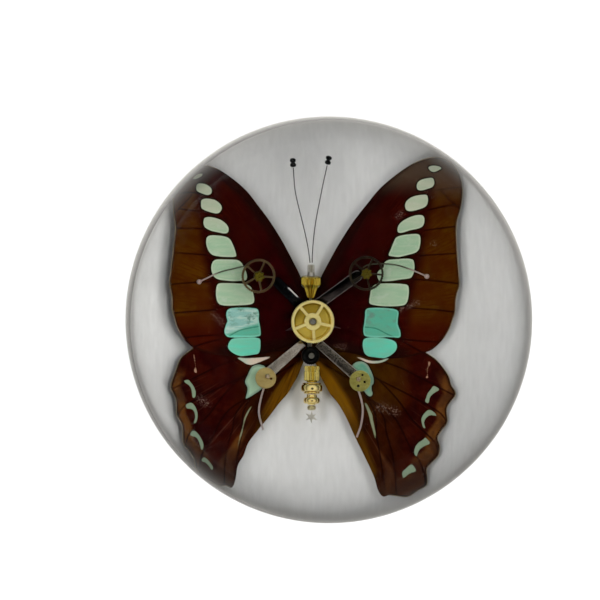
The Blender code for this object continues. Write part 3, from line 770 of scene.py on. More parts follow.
def forewing(side, finish):
    outline = [tuple(p) for p in catmull(FOREWING_OUTLINE, 6, True)]
    plan, faces, loop = wing_grid(outline)
    edge = distance_to(plan, [loop], True)
    veins = FOREWING_VEINS[side]
    vein = distance_to(plan, [catmull(v, 6) for v in veins])
    inner = distance_to(plan, [catmull(v, 6) for v in FOREWING_INNER_VEINS])
    low, high = FOREWING_LEVEL
    lines = marks_of(CREASE, FOREWING_VIEW, side, high)
    crease = distance_to(plan, [catmull(line, 6) for line in lines])
    loops = marks_of(FOREWING_SPOTS, FOREWING_VIEW, side, high)
    spot = depth_in(plan, [catmull(loop, 4, True) for loop in loops])
    ridge = 0.07 * np.exp(-(np.minimum(vein, inner) / 0.16) ** 2)
    sag = -0.07 * (1.0 - np.exp(-(np.minimum(vein, inner) / 1.2) ** 2))
    thin = -0.1 * np.exp(-edge / 0.12)
    phase = 0.4 if side == "left" else 2.1
    top = high + 0.06 + ridge + sag + thin + 0.09 * waves(plan, phase) * np.clip(edge / 2.0, 0.0, 1.0)
    facts = {"edge": edge, "vein": vein, "spot": spot, "crease": crease,
             "worn": distance_to(plan, WORN["forewing_" + side]),
             "grain": grain_of(plan, (-2.0, 0.5), phase), "along": plan[:, 1].copy(),
             "across": plan[:, 0].copy()}
    mesh = wing_mesh(plan, faces, top, low, side, facts)
    add_piece("forewing_" + side, mesh, finish, smooth_below=70.0)


def hindwing(side, finish):
    outline = [tuple(p) for p in catmull(HINDWING_OUTLINE[side], 5, True)]
    plan, faces, loop = wing_grid(outline)
    edge = distance_to(plan, [loop], True)
    vein = distance_to(plan, [catmull(v, 6) for v in HINDWING_VEINS])
    low, high = HINDWING_LEVEL
    ridge = 0.07 * np.exp(-(vein / 0.18) ** 2)
    sag = -0.06 * (1.0 - np.exp(-(vein / 1.2) ** 2))
    thin = -0.1 * np.exp(-edge / 0.12)
    phase = 3.4 if side == "left" else 5.0
    top = high + 0.05 + ridge + sag + thin + 0.06 * waves(plan, phase) * np.clip(edge / 2.0, 0.0, 1.0)
    patches = {"mark": HINDWING_MARKS, "teal": HINDWING_TEAL, "pale": HINDWING_PALE}
    facts = {"edge": edge, "vein": vein, "gold": depth_in(plan, [INNER_MARGIN]),
             "worn": distance_to(plan, WORN["hindwing_" + side]), "grain": grain_of(plan, (0.0, -2.0), phase),
             "along": plan[:, 1].copy(), "across": plan[:, 0].copy()}
    for key, marks in patches.items():
        loops = marks_of(marks, HINDWING_VIEW, side, high)
        facts[key] = depth_in(plan, [catmull(loop, 4, True) for loop in loops])
    mesh = wing_mesh(plan, faces, top, low, side, facts)
    add_piece("hindwing_" + side, mesh, finish, smooth_below=70.0)


def scale_finish(tree, colour, relief):
    node = tree.shader(Base_Color=colour, Roughness=0.7, Normal=tree.bump(relief, 0.35, 0.00004))
    node.inputs["Specular IOR Level"].default_value = 0.0


def rubbed(tree, ground, scale=1.0):
    """Pale specks where scales are missing."""
    specks = tree.step(tree.noise(tree.coords(), 3.2, 3.0, 0.7), 0.50, 0.62)
    share = tree.times(tree.times(tree.step(tree.attribute("worn"), scale, 0.1), specks), 0.45)
    return tree.mix(share, ground, (0.30, 0.20, 0.16))


def forewing_material():
    made, tree = new_material("forewing_scales")
    grain = tree.attribute("grain", "Vector")
    along, across = tree.attribute("along"), tree.attribute("across")
    streaks = tree.noise(tree.stretched(grain, (1.6, 0.22, 1.0)), 1.0, 3.0, 0.6)
    fine = tree.noise(tree.stretched(grain, (5.0, 0.9, 1.0)), 1.0, 2.0, 0.6)
    clouds = tree.noise(tree.coords(), 0.25, 3.0, 0.6)
    edge, vein, spot = tree.attribute("edge"), tree.attribute("vein"), tree.attribute("spot")

    # Ground colour: nearly black maroon at the root, olive-brown panels outside the band
    beyond_band = tree.math("SUBTRACT", across, tree.plus(tree.times(along, 0.2), 18.2))
    root = tree.fade(clouds, 0.35, 0.65, (0.014, 0.0003, 0.0007), (0.023, 0.0007, 0.0013))
    flush = tree.fade(streaks, 0.45, 0.75, (0.023, 0.0012, 0.0008), (0.038, 0.005, 0.0010))
    ground = tree.fade(across, 6.0, 15.0, root, flush)
    olive = tree.fade(clouds, 0.3, 0.7, (0.046, 0.0095, 0.0005), (0.068, 0.0240, 0.0009))
    olive = tree.fade(streaks, 0.4, 0.75, olive, (0.045, 0.0085, 0.0004))
    olive = tree.fade(along, 2.5, -3.0, olive, (0.038, 0.0036, 0.0005))
    ground = tree.fade(beyond_band, 0.0, 2.6, ground, olive)
    # Costal strip: brown-black with faint light streaks
    costa = tree.times(tree.step(edge, 2.6, 1.2), tree.step(across, 22.0, 17.0))
    streaked = tree.times(tree.step(fine, 0.55, 0.75), 0.5)
    strip = tree.mix(streaked, (0.012, 0.0015, 0.001), (0.045, 0.022, 0.017))
    ground = tree.mix(costa, ground, strip)
    # Veins and the dark edge line
    line = tree.times(tree.step(vein, 0.26, 0.06), tree.step(beyond_band, -0.5, 1.0))
    ground = tree.mix(tree.times(line, 0.9), ground, (0.012, 0.0008, 0.0008))
    apex = tree.times(tree.step(along, 24.0, 31.0), tree.step(tree.from_middle(), -0.5, 0.5))
    ground = tree.mix(tree.times(apex, 0.7), ground, (0.10, 0.065, 0.04))
    ground = tree.mix(tree.times(tree.step(edge, 0.6, 0.2), 0.7), ground, (0.014, 0.003, 0.0015))
    ground = rubbed(tree, ground)
    # Spots
    ragged = tree.plus(spot, tree.times(tree.math("SUBTRACT", fine, 0.5), 0.12))
    left = tree.step(tree.from_middle(), -0.5, 0.5, 1.0, 0.0)
    band = tree.noise(tree.stretched(tree.coords(), (0.25, 1.3, 1.0)), 1.0, 3.0, 0.6)
    smudge = tree.step(tree.noise(tree.coords(), 0.55, 3.0, 0.65), 0.52, 0.68)
    aqua = tree.fade(band, 0.35, 0.65, (0.165, 0.52, 0.36), (0.125, 0.58, 0.41))
    aqua = tree.mix(tree.times(tree.step(along, -3.3, -2.9), 0.55), aqua, (0.075, 0.26, 0.17))
    # The upper spots are paler on the left wing
    upper = tree.step(tree.plus(along, tree.times(across, 0.33)), 2.4, 3.2)
    paler_upper_spots = tree.fade(band, 0.42, 0.58, (0.42, 0.58, 0.50), (0.24, 0.46, 0.40))
    aqua = tree.mix(tree.times(upper, left), aqua, paler_upper_spots)
    aqua = tree.mix(tree.times(smudge, tree.step(along, -2.0, 0.0)), aqua, (0.13, 0.26, 0.20))
    aqua = tree.mix(tree.step(tree.attribute("crease"), 0.17, 0.04), aqua, (0.03, 0.16, 0.10))
    green = tree.fade(band, 0.35, 0.65, (0.37, 0.49, 0.33), (0.31, 0.46, 0.30))
    green = tree.mix(tree.times(smudge, 0.5), green, (0.46, 0.54, 0.42))
    pale = tree.fade(band, 0.35, 0.65, (0.49, 0.52, 0.38), (0.43, 0.50, 0.35))
    fill = tree.fade(along, 2.5, 2.8, aqua, tree.fade(along, 16.0, 23.0, green, pale))
    halo = tree.fade(along, 2.5, 2.8, (0.22, 0.56, 0.42), (0.52, 0.58, 0.41))
    fill = tree.mix(tree.times(tree.step(ragged, 0.42, 0.10), 0.7), fill, halo)
    ground = tree.fade(ragged, -0.50, -0.05, ground, (0.007, 0.005, 0.002))
    colour = tree.fade(ragged, -0.05, 0.10, ground, fill)
    fringe = tree.times(tree.step(edge, 0.18, 0.02), tree.times(tree.step(across, 19.0, 22.0),
                                                                tree.step(along, -4.5, -2.0)))
    colour = tree.mix(fringe, colour, (0.34, 0.27, 0.18))
    scale_finish(tree, colour, fine)
    return made


def hindwing_material():
    made, tree = new_material("hindwing_scales")
    grain = tree.attribute("grain", "Vector")
    along, across = tree.attribute("along"), tree.attribute("across")
    streaks = tree.noise(tree.stretched(grain, (1.2, 0.14, 1.0)), 1.0, 4.0, 0.65)
    fine = tree.noise(tree.stretched(grain, (4.5, 0.6, 1.0)), 1.0, 2.0, 0.6)
    hairs = tree.noise(tree.stretched(grain, (1.5, 0.05, 1.0)), 1.0, 2.0, 0.7)
    clouds = tree.noise(tree.coords(), 0.3, 3.0, 0.6)
    edge, vein = tree.attribute("edge"), tree.attribute("vein")
    from_root = tree.split(grain)["Y"]
    right = tree.step(tree.from_middle(), -0.5, 0.5)
    brown = tree.fade(clouds, 0.35, 0.65, (0.020, 0.0030, 0.0005), (0.030, 0.0060, 0.0008))
    olive = tree.fade(clouds, 0.35, 0.65, (0.034, 0.0090, 0.0006), (0.044, 0.0170, 0.0008))
    brown = tree.mix(tree.times(right, tree.step(along, -20.0, -14.0)), brown, olive)
    maroon = tree.fade(clouds, 0.35, 0.65, (0.016, 0.0006, 0.0008), (0.030, 0.0030, 0.0010))
    ground = tree.mix(tree.step(across, tree.plus(tree.times(right, 4.0), 11.0),
                                tree.plus(tree.times(right, 4.0), 17.0)), brown, maroon)
    hair = tree.times(tree.step(hairs, 0.60, 0.70),
                      tree.times(tree.step(from_root, 13.0, 16.0), tree.step(along, -9.0, -17.0)))
    ground = tree.mix(tree.times(hair, 0.4), ground, (0.085, 0.038, 0.026))
    # Lighter brown outside the lunules
    width = tree.step(along, -20.0, -32.0, 2.0, 4.4)
    outside_gold = tree.step(tree.attribute("gold"), -0.8, -2.0)
    margin = tree.times(tree.step(tree.math("SUBTRACT", edge, width), 0.5, -0.5),
                        tree.times(tree.step(along, -9.0, -13.0), outside_gold))
    scallop = tree.fade(clouds, 0.4, 0.6, (0.070, 0.026, 0.008), (0.140, 0.052, 0.010))
    scallop = tree.mix(tree.times(tree.step(along, -23.0, -29.0), 0.8), scallop, (0.034, 0.011, 0.006))
    ground = tree.mix(tree.times(margin, 0.85), ground, scallop)
    ground = tree.mix(tree.times(tree.step(vein, 0.24, 0.08), 0.8), ground, (0.008, 0.0008, 0.0008))
    # Golden brown inner margin
    gold = tree.step(tree.attribute("gold"), -0.2, 1.0)
    gilt = tree.fade(streaks, 0.32, 0.66, (0.050, 0.018, 0.0010), (0.17, 0.070, 0.0025))
    gilt = tree.mix(tree.times(right, 0.5), gilt, (0.23, 0.10, 0.003))
    gilt = tree.mix(tree.times(tree.step(along, -15.0, -21.0), 0.7), gilt, (0.050, 0.017, 0.002))
    ground = tree.mix(gold, ground, gilt)
    ground = rubbed(tree, ground, 1.4)
    # Green-grey lunules and the cream streak before them, teal patch, pale crescent and streak
    ragged = tree.times(tree.math("SUBTRACT", fine, 0.5), 0.16)
    streak = tree.step(along, -11.9, -11.5)
    mark = tree.math("SUBTRACT", tree.plus(tree.attribute("mark"), ragged), tree.times(streak, 0.13))
    mark = tree.step(mark, -0.10, 0.08)
    lunule = tree.mix(streak, (0.22, 0.29, 0.19), (0.34, 0.20, 0.13))
    ground = tree.mix(mark, ground, lunule)
    teal = tree.plus(tree.attribute("teal"), ragged)
    ground = tree.fade(teal, -0.40, -0.02, ground, (0.010, 0.005, 0.003))
    ground = tree.fade(teal, -0.05, 0.10, ground, (0.26, 0.37, 0.27))
    patch = tree.fade(clouds, 0.4, 0.6, (0.20, 0.42, 0.29), (0.13, 0.36, 0.25))
    patch = tree.mix(right, tree.mix(0.75, patch, (0.46, 0.62, 0.42)), patch)
    ground = tree.fade(teal, 0.15, 0.60, ground, patch)
    # Painted shade: a dark patch on the wing under the right lower disc, so that the disc's holes look dark
    off_centre = tree.add("VectorMath", operation="DISTANCE")
    tree.put(tree.joined(across, along), off_centre.inputs[0])
    off_centre.inputs[1].default_value = SHADE_UNDER_DISC
    painted_shade_under_disc = tree.times(right, tree.step(off_centre.outputs["Value"], 1.8, 1.55))
    ground = tree.mix(painted_shade_under_disc, ground, (0.010, 0.005, 0.003))
    thinner = tree.times(tree.step(along, -12.0, -13.0), 0.14)
    pale = tree.step(tree.math("SUBTRACT", tree.plus(tree.attribute("pale"), ragged), thinner), -0.10, 0.10)
    cream = tree.fade(across, 13.5, 11.0, (0.45, 0.52, 0.40), (0.66, 0.55, 0.44))
    cream = tree.fade(along, -12.0, -13.0, cream, (0.24, 0.27, 0.16))
    ground = tree.mix(pale, ground, cream)
    outer = tree.step(tree.plus(across, tree.times(along, 0.25)), 6.5, 8.5)
    ground = tree.mix(tree.times(tree.step(edge, 0.6, 0.25), outer), ground, (0.014, 0.004, 0.0015))
    colour = tree.mix(tree.times(tree.step(edge, 0.16, 0.02), outer), ground, (0.34, 0.27, 0.18))
    scale_finish(tree, colour, fine)
    return made


# ---------------------------------------------------------------- wheels and discs

def toothed(radius, tooth, teeth):
    rim = []
    pitch = math.tau / teeth
    for k in range(teeth):
        for reach, part in ((-tooth, 0.0), (-tooth, 0.38), (-0.25 * tooth, 0.5), (0.0, 0.6),
                            (0.0, 0.8), (-0.25 * tooth, 0.9)):
            rim.append(on_circle(radius + reach, pitch * (k + part)))
    return rim


def spoke_windows(rim, hub, spoke, first_spoke, count=5, arc_points=14):
    windows = []
    for k in range(count):
        spoke_angle = math.radians(first_spoke) + math.tau * k / count
        window = []
        for radius, step in ((rim, 1), (hub, -1)):
            clear = math.asin(spoke / 2 / radius)
            sweep = math.tau / count - 2 * clear
            arc = [on_circle(radius, spoke_angle + clear + sweep * j / arc_points)
                   for j in range(arc_points + 1)]
            window += arc[::step]
        windows.append(window)
    return windows


def moved(loop, centre):
    return [(x + centre[0], y + centre[1]) for x, y in loop]


# Radius over the teeth, tooth height and count; inside of the rim, hub, spoke width and first spoke's angle
MAIN_TEETH, MAIN_SPOKES = (4.4, 0.13, 72), (3.78, 1.72, 0.57, 59.0)
SMALL_TEETH, SMALL_SPOKES = (3.5, 0.09, 48), (3.02, 0.95, 0.34, 67.0)
MAIN_BORE = 0.8
WHEEL_BEVEL = 0.06
# Each side's small wheel: centre, finish and slot
SMALL_WHEELS = {"left": ((-10.9, 9.0), "olive", "tarnished_brass"),
                "right": ((10.8, 9.6), "black_wheel", "black_oxide")}
LOWER_DISC_RADIUS = 2.1
# Each side's lower disc: centre, place of its pivot, and its holes' radii and centres
LOWER_DISCS = {
    "left": ((-9.1, -11.5), (-8.85, -11.15), [(0.26, (-8.0, -11.6))]),
    "right": ((9.8, -11.8), (9.45, -11.45),
              [(0.24, (10.25, -10.6)), (0.26, (10.7, -12.0)), (0.3, (9.45, -12.8))])}
COLLAR_CENTRE = (-0.15, -6.9)


def wheels(finish):
    loops = [toothed(*MAIN_TEETH)] + spoke_windows(*MAIN_SPOKES) + [circle(MAIN_BORE, 40)]
    mesh = plate(loops, MAIN_WHEEL_LEVEL, WHEEL_BEVEL)
    add_piece("main_wheel", mesh, finish["pale_brass"])
    low, high = MAIN_DISC_LEVEL
    disc = [(low, 3.8), (low + 0.1, 3.9), (high - 0.1, 3.9), (high, 3.86), (high - 0.22, 3.72),
            (high - 0.22, 3.5), (high - 0.02, 3.36), (high - 0.03, 2.6), (high - 0.16, 0.9),
            (high - 0.2, 0.1)]
    add_piece("main_wheel_disc", spun(disc, (0.0, 0.0), sides=120), finish["gilt_disc"])
    pivot = [(6.6, 0.6), (7.1, 0.66), (7.26, 0.62), (7.38, 0.5), (7.46, 0.32), (7.5, 0.12)]
    add_piece("main_pivot", spun(pivot, (0.0, 0.0), sides=40), finish["dull_steel"])
    low, high = SMALL_HUB_LEVEL
    hub = [(low, 0.95, 0.2), (low + 0.1, 1.15, 0.3), (high - 0.25, 1.15, 0.3), (high - 0.18, 0.85, 0.12),
           (high - 0.18, 0.42, 0.0), (high, 0.34, 0.0), (high, 0.2, 0.0), (high - 0.12, 0.12, 0.0)]
    for side, (centre, tone, slot) in SMALL_WHEELS.items():
        loops = [toothed(*SMALL_TEETH)] + spoke_windows(*SMALL_SPOKES)
        mesh = plate([moved(loop, centre) for loop in loops], SMALL_WHEEL_LEVEL, WHEEL_BEVEL)
        add_piece("upper_wheel_" + side, mesh, finish[tone])
        mesh = spun(hub, centre, flutes=7, corner=0.04, phase=math.pi / 2)
        add_piece("upper_hub_" + side, mesh, finish["hub_" + side])


def lower_discs(finish):
    pivot = [(5.8, 0.5, 0.1), (5.95, 0.6, 0.16), (6.1, 0.52, 0.14), (6.15, 0.4, 0.0), (6.3, 0.34, 0.0),
             (6.3, 0.2, 0.0), (6.18, 0.12, 0.0)]
    for side, (centre, pivot_place, holes) in LOWER_DISCS.items():
        loops = [circle(LOWER_DISC_RADIUS, 72, centre)]
        loops += [circle(radius, 20, place) for radius, place in holes]
        mesh = plate(loops, SMALL_WHEEL_LEVEL, 0.1, 3)
        add_piece("lower_disc_" + side, mesh, finish["disc_" + side])
        mesh = spun(pivot, pivot_place, flutes=5, corner=0.05)
        add_piece("lower_pivot_" + side, mesh, finish["disc_pivot"])


def collar(finish):
    body = [(5.0, 1.5, 0.0), (5.2, 1.85, 0.12), (5.7, 1.85, 0.12), (5.95, 1.6, 0.10), (6.15, 1.3, 0.04),
            (6.2, 1.1, 0.0), (6.1, 0.8, 0.0), (6.05, 0.7, 0.0)]
    mesh = spun(body, COLLAR_CENTRE, flutes=26, corner=0.04)
    add_piece("black_collar", mesh, finish["black"])
    pivot = [(6.5, 0.55), (6.75, 0.6), (6.88, 0.5), (6.9, 0.38), (6.8, 0.28), (6.62, 0.22)]
    mesh = spun(pivot, COLLAR_CENTRE, sides=40, corner=0.05)
    add_piece("collar_pivot", mesh, finish["dull_steel"])


# ---------------------------------------------------------------- arms

def lever(root, tip, widths, shoulder=0.5, nose=0.6):
    root, tip = Vector(root), Vector(tip)
    along = (tip - root).normalized()
    side = Vector((-along.y, along.x))
    half_root, half_tip = widths[0] / 2, widths[1] / 2
    back = tip - along * shoulder
    corners = [root - side * half_root, back - side * half_tip, tip - side * half_tip * nose,
               tip + side * half_tip * nose, back + side * half_tip, root + side * half_root]
    return [tuple(p) for p in corners]


# Arms: root and tip of the middle line, widths at both ends, edge bevel and slot
ARMS = {
    "arm_upper_left": ((-0.97, 1.87), (-7.5, 8.25), (2.1, 2.0), 0.34, "dark_steel"),
    "arm_lower_left": ((-1.5, -4.4), (-8.5, -10.6), (1.7, 2.2), 0.12, "bright_steel"),
    "arm_upper_right": ((0.88, 2.99), (9.0, 8.95), (2.1, 2.1), 0.12, "dark_steel"),
    "arm_lower_right": ((1.5, -4.4), (9.0, -10.8), (1.7, 2.0), 0.12, "dark_steel")}
ROUND_NOSE = 1.1                # radius of the upper right arm's end
ROUND_NOSE_TURN = 1.45          # how far it runs to either side, in radians
ROUND_NOSE_POINTS = 15
CROSS_BAR_OUTLINE = [(-5.2, -2.0), (-3.2, -1.6), (0.0, -1.4), (3.2, -1.2), (5.9, -1.4), (3.3, -0.5),
                     (0.0, -0.3), (-3.2, -0.7)]


def round_nose(root, tip):
    along = Vector(tip) - Vector(root)
    heading = math.atan2(along.y, along.x)
    turns = np.linspace(-ROUND_NOSE_TURN, ROUND_NOSE_TURN, ROUND_NOSE_POINTS)
    return moved([on_circle(ROUND_NOSE, heading + turn) for turn in turns], tip)


def arms(finish):
    for name, (root, tip, widths, bevel, slot) in ARMS.items():
        outline = lever(root, tip, widths)
        if name == "arm_upper_right":
            outline = outline[:1] + round_nose(root, tip) + outline[-1:]
        add_piece(name, plate([outline], ARM_LEVEL, bevel, 1), finish[name], smooth_below=25.0)
    mesh = plate([CROSS_BAR_OUTLINE], PRONG_LEVEL, 0.06)
    add_piece("cross_bar", mesh, finish["dim_steel"])


# ---------------------------------------------------------------- head and abdomen

def bead(ends, radius, waist, swell=1.0, steps=14):
    """Stations of a smooth round bead between two places on the body axis."""
    stations = []
    middle, half = (ends[0] + ends[1]) / 2, (ends[0] - ends[1]) / 2
    for k in range(steps + 1):
        turn = math.pi * k / steps
        stations.append((middle + half * math.cos(turn), waist + (radius - waist) * math.sin(turn) ** swell))
    return stations


PINION = [(11.3, 0.55, 0.3), (11.2, 0.72, 0.42), (9.9, 0.72, 0.42), (9.8, 0.66, 0.1), (9.1, 0.78, 0.0)]
CROWN = [(9.0, 1.4, 0.05), (8.9, 1.8, 0.1), (8.6, 2.0, 0.5), (7.4, 1.98, 0.55), (7.1, 1.75, 0.5),
         (6.7, 1.35, 0.4), (5.9, 1.05, 0.35), (4.9, 0.75, 0.25), (4.6, 0.55, 0.05)]
SLEEVE = [(-8.9, 1.25, 0.1), (-9.05, 1.55, 0.5), (-9.3, 1.60, 0.62), (-9.9, 1.45, 0.45), (-10.1, 1.58, 0.45),
          (-11.75, 1.62, 0.42), (-11.9, 1.45, 0.12), (-12.0, 1.1, 0.0), (-12.2, 1.05, 0.0)]
RING_1 = [(-12.25, 1.0), *bead((-12.3, -12.62), 1.85, 1.5, 0.8, 8), *bead((-12.64, -14.1), 2.12, 1.72, 0.6),
          *bead((-14.12, -14.5), 1.6, 1.3, 0.8, 8), (-14.55, 1.0)]
RING_2 = [(-14.62, 0.7), (-14.64, 1.0), (-15.2, 1.05), *bead((-15.22, -16.5), 1.62, 1.0, 0.6),
          (-16.52, 0.85), (-16.7, 0.75)]
END_RING = [(-16.8, 0.5), *bead((-16.82, -17.75), 0.86, 0.5, 0.6, 10), (-17.78, 0.4)]
FINIAL_POINTS = 6
FINIAL_REACH = (1.2, 0.45)      # of its points and between them
FINIAL_Y = -19.1
FINIAL_LEVEL = (4.9, 5.7)


def fluted(name, stations, x, flutes, finish):
    """A piece about the body axis, with a groove or a rib on top."""
    top = math.pi / 2 + math.pi / flutes
    add_piece(name, spun(stations, (x, 0.0), "Y", flutes, corner=0.05, phase=top), finish)


def head(finish):
    fluted("head_pinion", PINION, HEAD_X, 6, finish["pale_steel"])
    fluted("head_crown", CROWN, HEAD_X, 12, finish["crown"])


def abdomen(finish):
    fluted("abdomen_sleeve", SLEEVE, ABDOMEN_X, 10, finish["gilt"])
    for name, stations, sides, tone in (("abdomen_ring_1", RING_1, 96, "polished"),
                                        ("abdomen_ring_2", RING_2, 80, "polished"),
                                        ("abdomen_end_ring", END_RING, 64, "pale_gilt")):
        mesh = spun(stations, (ABDOMEN_X, 0.0), "Y", sides=sides, corner=0.01)
        add_piece(name, mesh, finish[tone])
    star = [on_circle(FINIAL_REACH[k % 2], math.pi / 2 + math.pi * k / FINIAL_POINTS)
            for k in range(2 * FINIAL_POINTS)]
    mesh = plate([moved(star, (ABDOMEN_X, FINIAL_Y))], FINIAL_LEVEL, 0.07)
    add_piece("star_finial", mesh, finish["pale_steel"])


# ---------------------------------------------------------------- wires

ANTENNAE = {
    "left": [(-0.47, 11.7), (-0.8, 14.1), (-1.35, 16.9), (-2.2, 20.4), (-3.1, 23.9), (-3.7, 26.9),
             (-4.1, 31.3)],
    "right": [(-0.03, 11.7), (0.0, 13.5), (0.25, 16.9), (0.7, 20.4), (1.4, 24.3), (2.1, 28.0), (2.85, 31.7)]}
FORELEGS = {
    "left": [(-12.6, 10.8), (-14.1, 10.7), (-16.4, 10.2), (-18.1, 9.8), (-19.7, 9.2), (-21.4, 8.4),
             (-23.4, 7.5)],
    "right": [(10.2, 10.6), (11.0, 11.1), (12.5, 11.35), (14.1, 11.4), (17.0, 11.1), (20.1, 10.1),
              (23.3, 8.75)]}
HINDLEGS = {
    "left": [(-9.0, -13.2), (-9.6, -15.3), (-10.0, -17.5), (-9.9, -19.2), (-9.1, -21.8)],
    "right": [(9.5, -13.4), (10.2, -15.5), (10.5, -17.6), (10.2, -20.3), (9.4, -22.8)]}
ANTENNA_HEIGHTS = (5.3, 4.4)
FORELEG_HEIGHTS = (4.4, 4.4)
HINDLEG_HEIGHTS = (3.75, 3.75)
ANTENNA_RADIUS = 0.1
FORELEG_RADIUS = 0.14
HINDLEG_RADIUS = 0.2
BEAD_GAP = 0.3
BEAD_LENGTH = 1.8
BEAD_RADIUS = 0.62
# A double bead: shares of its length and of its radius
BEAD = [(0.0, 0.5), (0.04, 0.8), (0.12, 1.0), (0.3, 1.0), (0.4, 0.7), (0.5, 0.58), (0.6, 0.7), (0.7, 1.0),
        (0.88, 1.0), (0.96, 0.8), (1.0, 0.5)]
BALL_RADIUS = 0.5
BALL_START = 1.15               # the last stretch of the wire, where points lie closer
BALL_STEPS = (2.2, 1.9, 1.7, 1.5, 1.25, 1.0, 0.75, 0.5, 0.3, 0.15, 0.05, 0.01)      # in ball radii


def route_at(points, heights):
    plan = catmull(points, 8)
    last = len(plan) - 1
    return [Vector((p.x, p.y, heights[0] + (heights[1] - heights[0]) * k / last)) for k, p in enumerate(plan)]


def antenna(side, finish):
    route = route_at(ANTENNAE[side], ANTENNA_HEIGHTS)
    mesh = rod(route, [ANTENNA_RADIUS] * len(route))
    add_piece("antenna_wire_" + side, mesh, finish["dark_wire"])
    ahead = (route[-1] - route[-2]).normalized()
    start = route[-1] + ahead * BEAD_GAP
    places = [start + ahead * part * BEAD_LENGTH for part, _ in BEAD]
    mesh = rod(places, [reach * BEAD_RADIUS for _, reach in BEAD], 28)
    add_piece("antenna_bead_" + side, mesh, finish["black"])


def foreleg(side, finish):
    """A wire that ends in a ball."""
    route = route_at(FORELEGS[side], FORELEG_HEIGHTS)
    end = route[-1]
    back = (route[-2] - end).normalized()
    ball = [end + back * BALL_RADIUS * part for part in BALL_STEPS]
    route = [p for p in route if (p - end).length > BALL_START] + ball
    radii = []
    for place in route:
        short = (place - end).length / BALL_RADIUS - 1.0
        wire = FORELEG_RADIUS if short > 0.0 else 0.0
        radii.append(max(wire, BALL_RADIUS * math.sqrt(max(0.0, 1.0 - short * short))))
    add_piece("foreleg_" + side, rod(route, radii, 16), finish["foreleg"])


def wires(finish):
    for side in ("left", "right"):
        antenna(side, finish)
        foreleg(side, finish)
        route = route_at(HINDLEGS[side], HINDLEG_HEIGHTS)
        mesh = rod(route, [HINDLEG_RADIUS] * len(route), 16)
        add_piece("hindleg_" + side, mesh, finish["wire"])


# ---------------------------------------------------------------- floor, light and camera

FLOOR_REACH = 6.0               # these two in metres
FLOOR_HEIGHT = -0.0002          # just under the dome's foot


def floor():
    made, tree = new_material("pale_floor")
    clouds = tree.noise(tree.coords((3.0, 3.0, 3.0)), 1.0, 2.0)
    node = tree.shader(Base_Color=tree.mix(clouds, (0.92, 0.92, 0.92), (0.94, 0.94, 0.94)), Roughness=0.9)
    node.inputs["Specular IOR Level"].default_value = 0.1
    corners = [(-1, -1), (1, -1), (1, 1), (-1, 1)]
    mesh = new_mesh([(x * FLOOR_REACH, y * FLOOR_REACH, FLOOR_HEIGHT) for x, y in corners], [(0, 1, 2, 3)])
    mesh.name = "floor"
    mesh.materials.append(made)
    plane = bpy.data.objects.new("floor", mesh)
    bpy.context.collection.objects.link(plane)
    plane.visible_glossy = False


# Light that falls into the glass, by its angle from straight up; sides in the order +X, -X, +Y, -Y
LIGHT_EDGE = (44.0, 36.2, 35.0, 50.0)       # half width of the bright part
LIGHT_CENTRE = 0.26
LIGHT_START = 33.0                          # where it brightens towards its sides
LIGHT_LEVEL = (4.2, 7.5, 0.3, 0.4)          # brightness at the sides
LIGHT_BEYOND = (0.42, 0.25, 0.20, 0.35)      # brightness lower down
LIGHT_END = (72.0, 80.0)
# Two long lamps, left and right of the middle: slopes of their edges
LAMP_LEVEL = 4.9
LAMP_ACROSS = (16.5, 18.5, 23.5, 25.5)
LAMP_ALONG = (-14.0, -9.0, 24.0, 30.0)
FLOOR_LIGHT = 1.6
# What bare metal mirrors: an even bright ceiling with a dark gap overhead
CEILING_EDGE = (24.0, 44.0)
CEILING_LEVEL = 0.8
CEILING_END = 0.07                          # what is left of it beyond its edge
HOLE = (8.0, 13.0)
HOLE_LEVEL = 0.01
# What the glass mirrors: dark surroundings, and the table below them
MIRRORED_DARK = 0.0015
MIRRORED_TABLE = (0.50, 0.90)              # brightness towards -Y and +Y
TABLE_START, TABLE_END = -0.5, -0.95
# The pale room behind the glass, seen through it from the side: by angle from straight up, and by height
ROOM_START = (57.0, 65.0)
ROOM_HEIGHT = (-0.1, 0.6)
ROOM_LEVEL = (0.60, 0.88)
TABLE_TINT = (1.0, 0.97, 0.91)


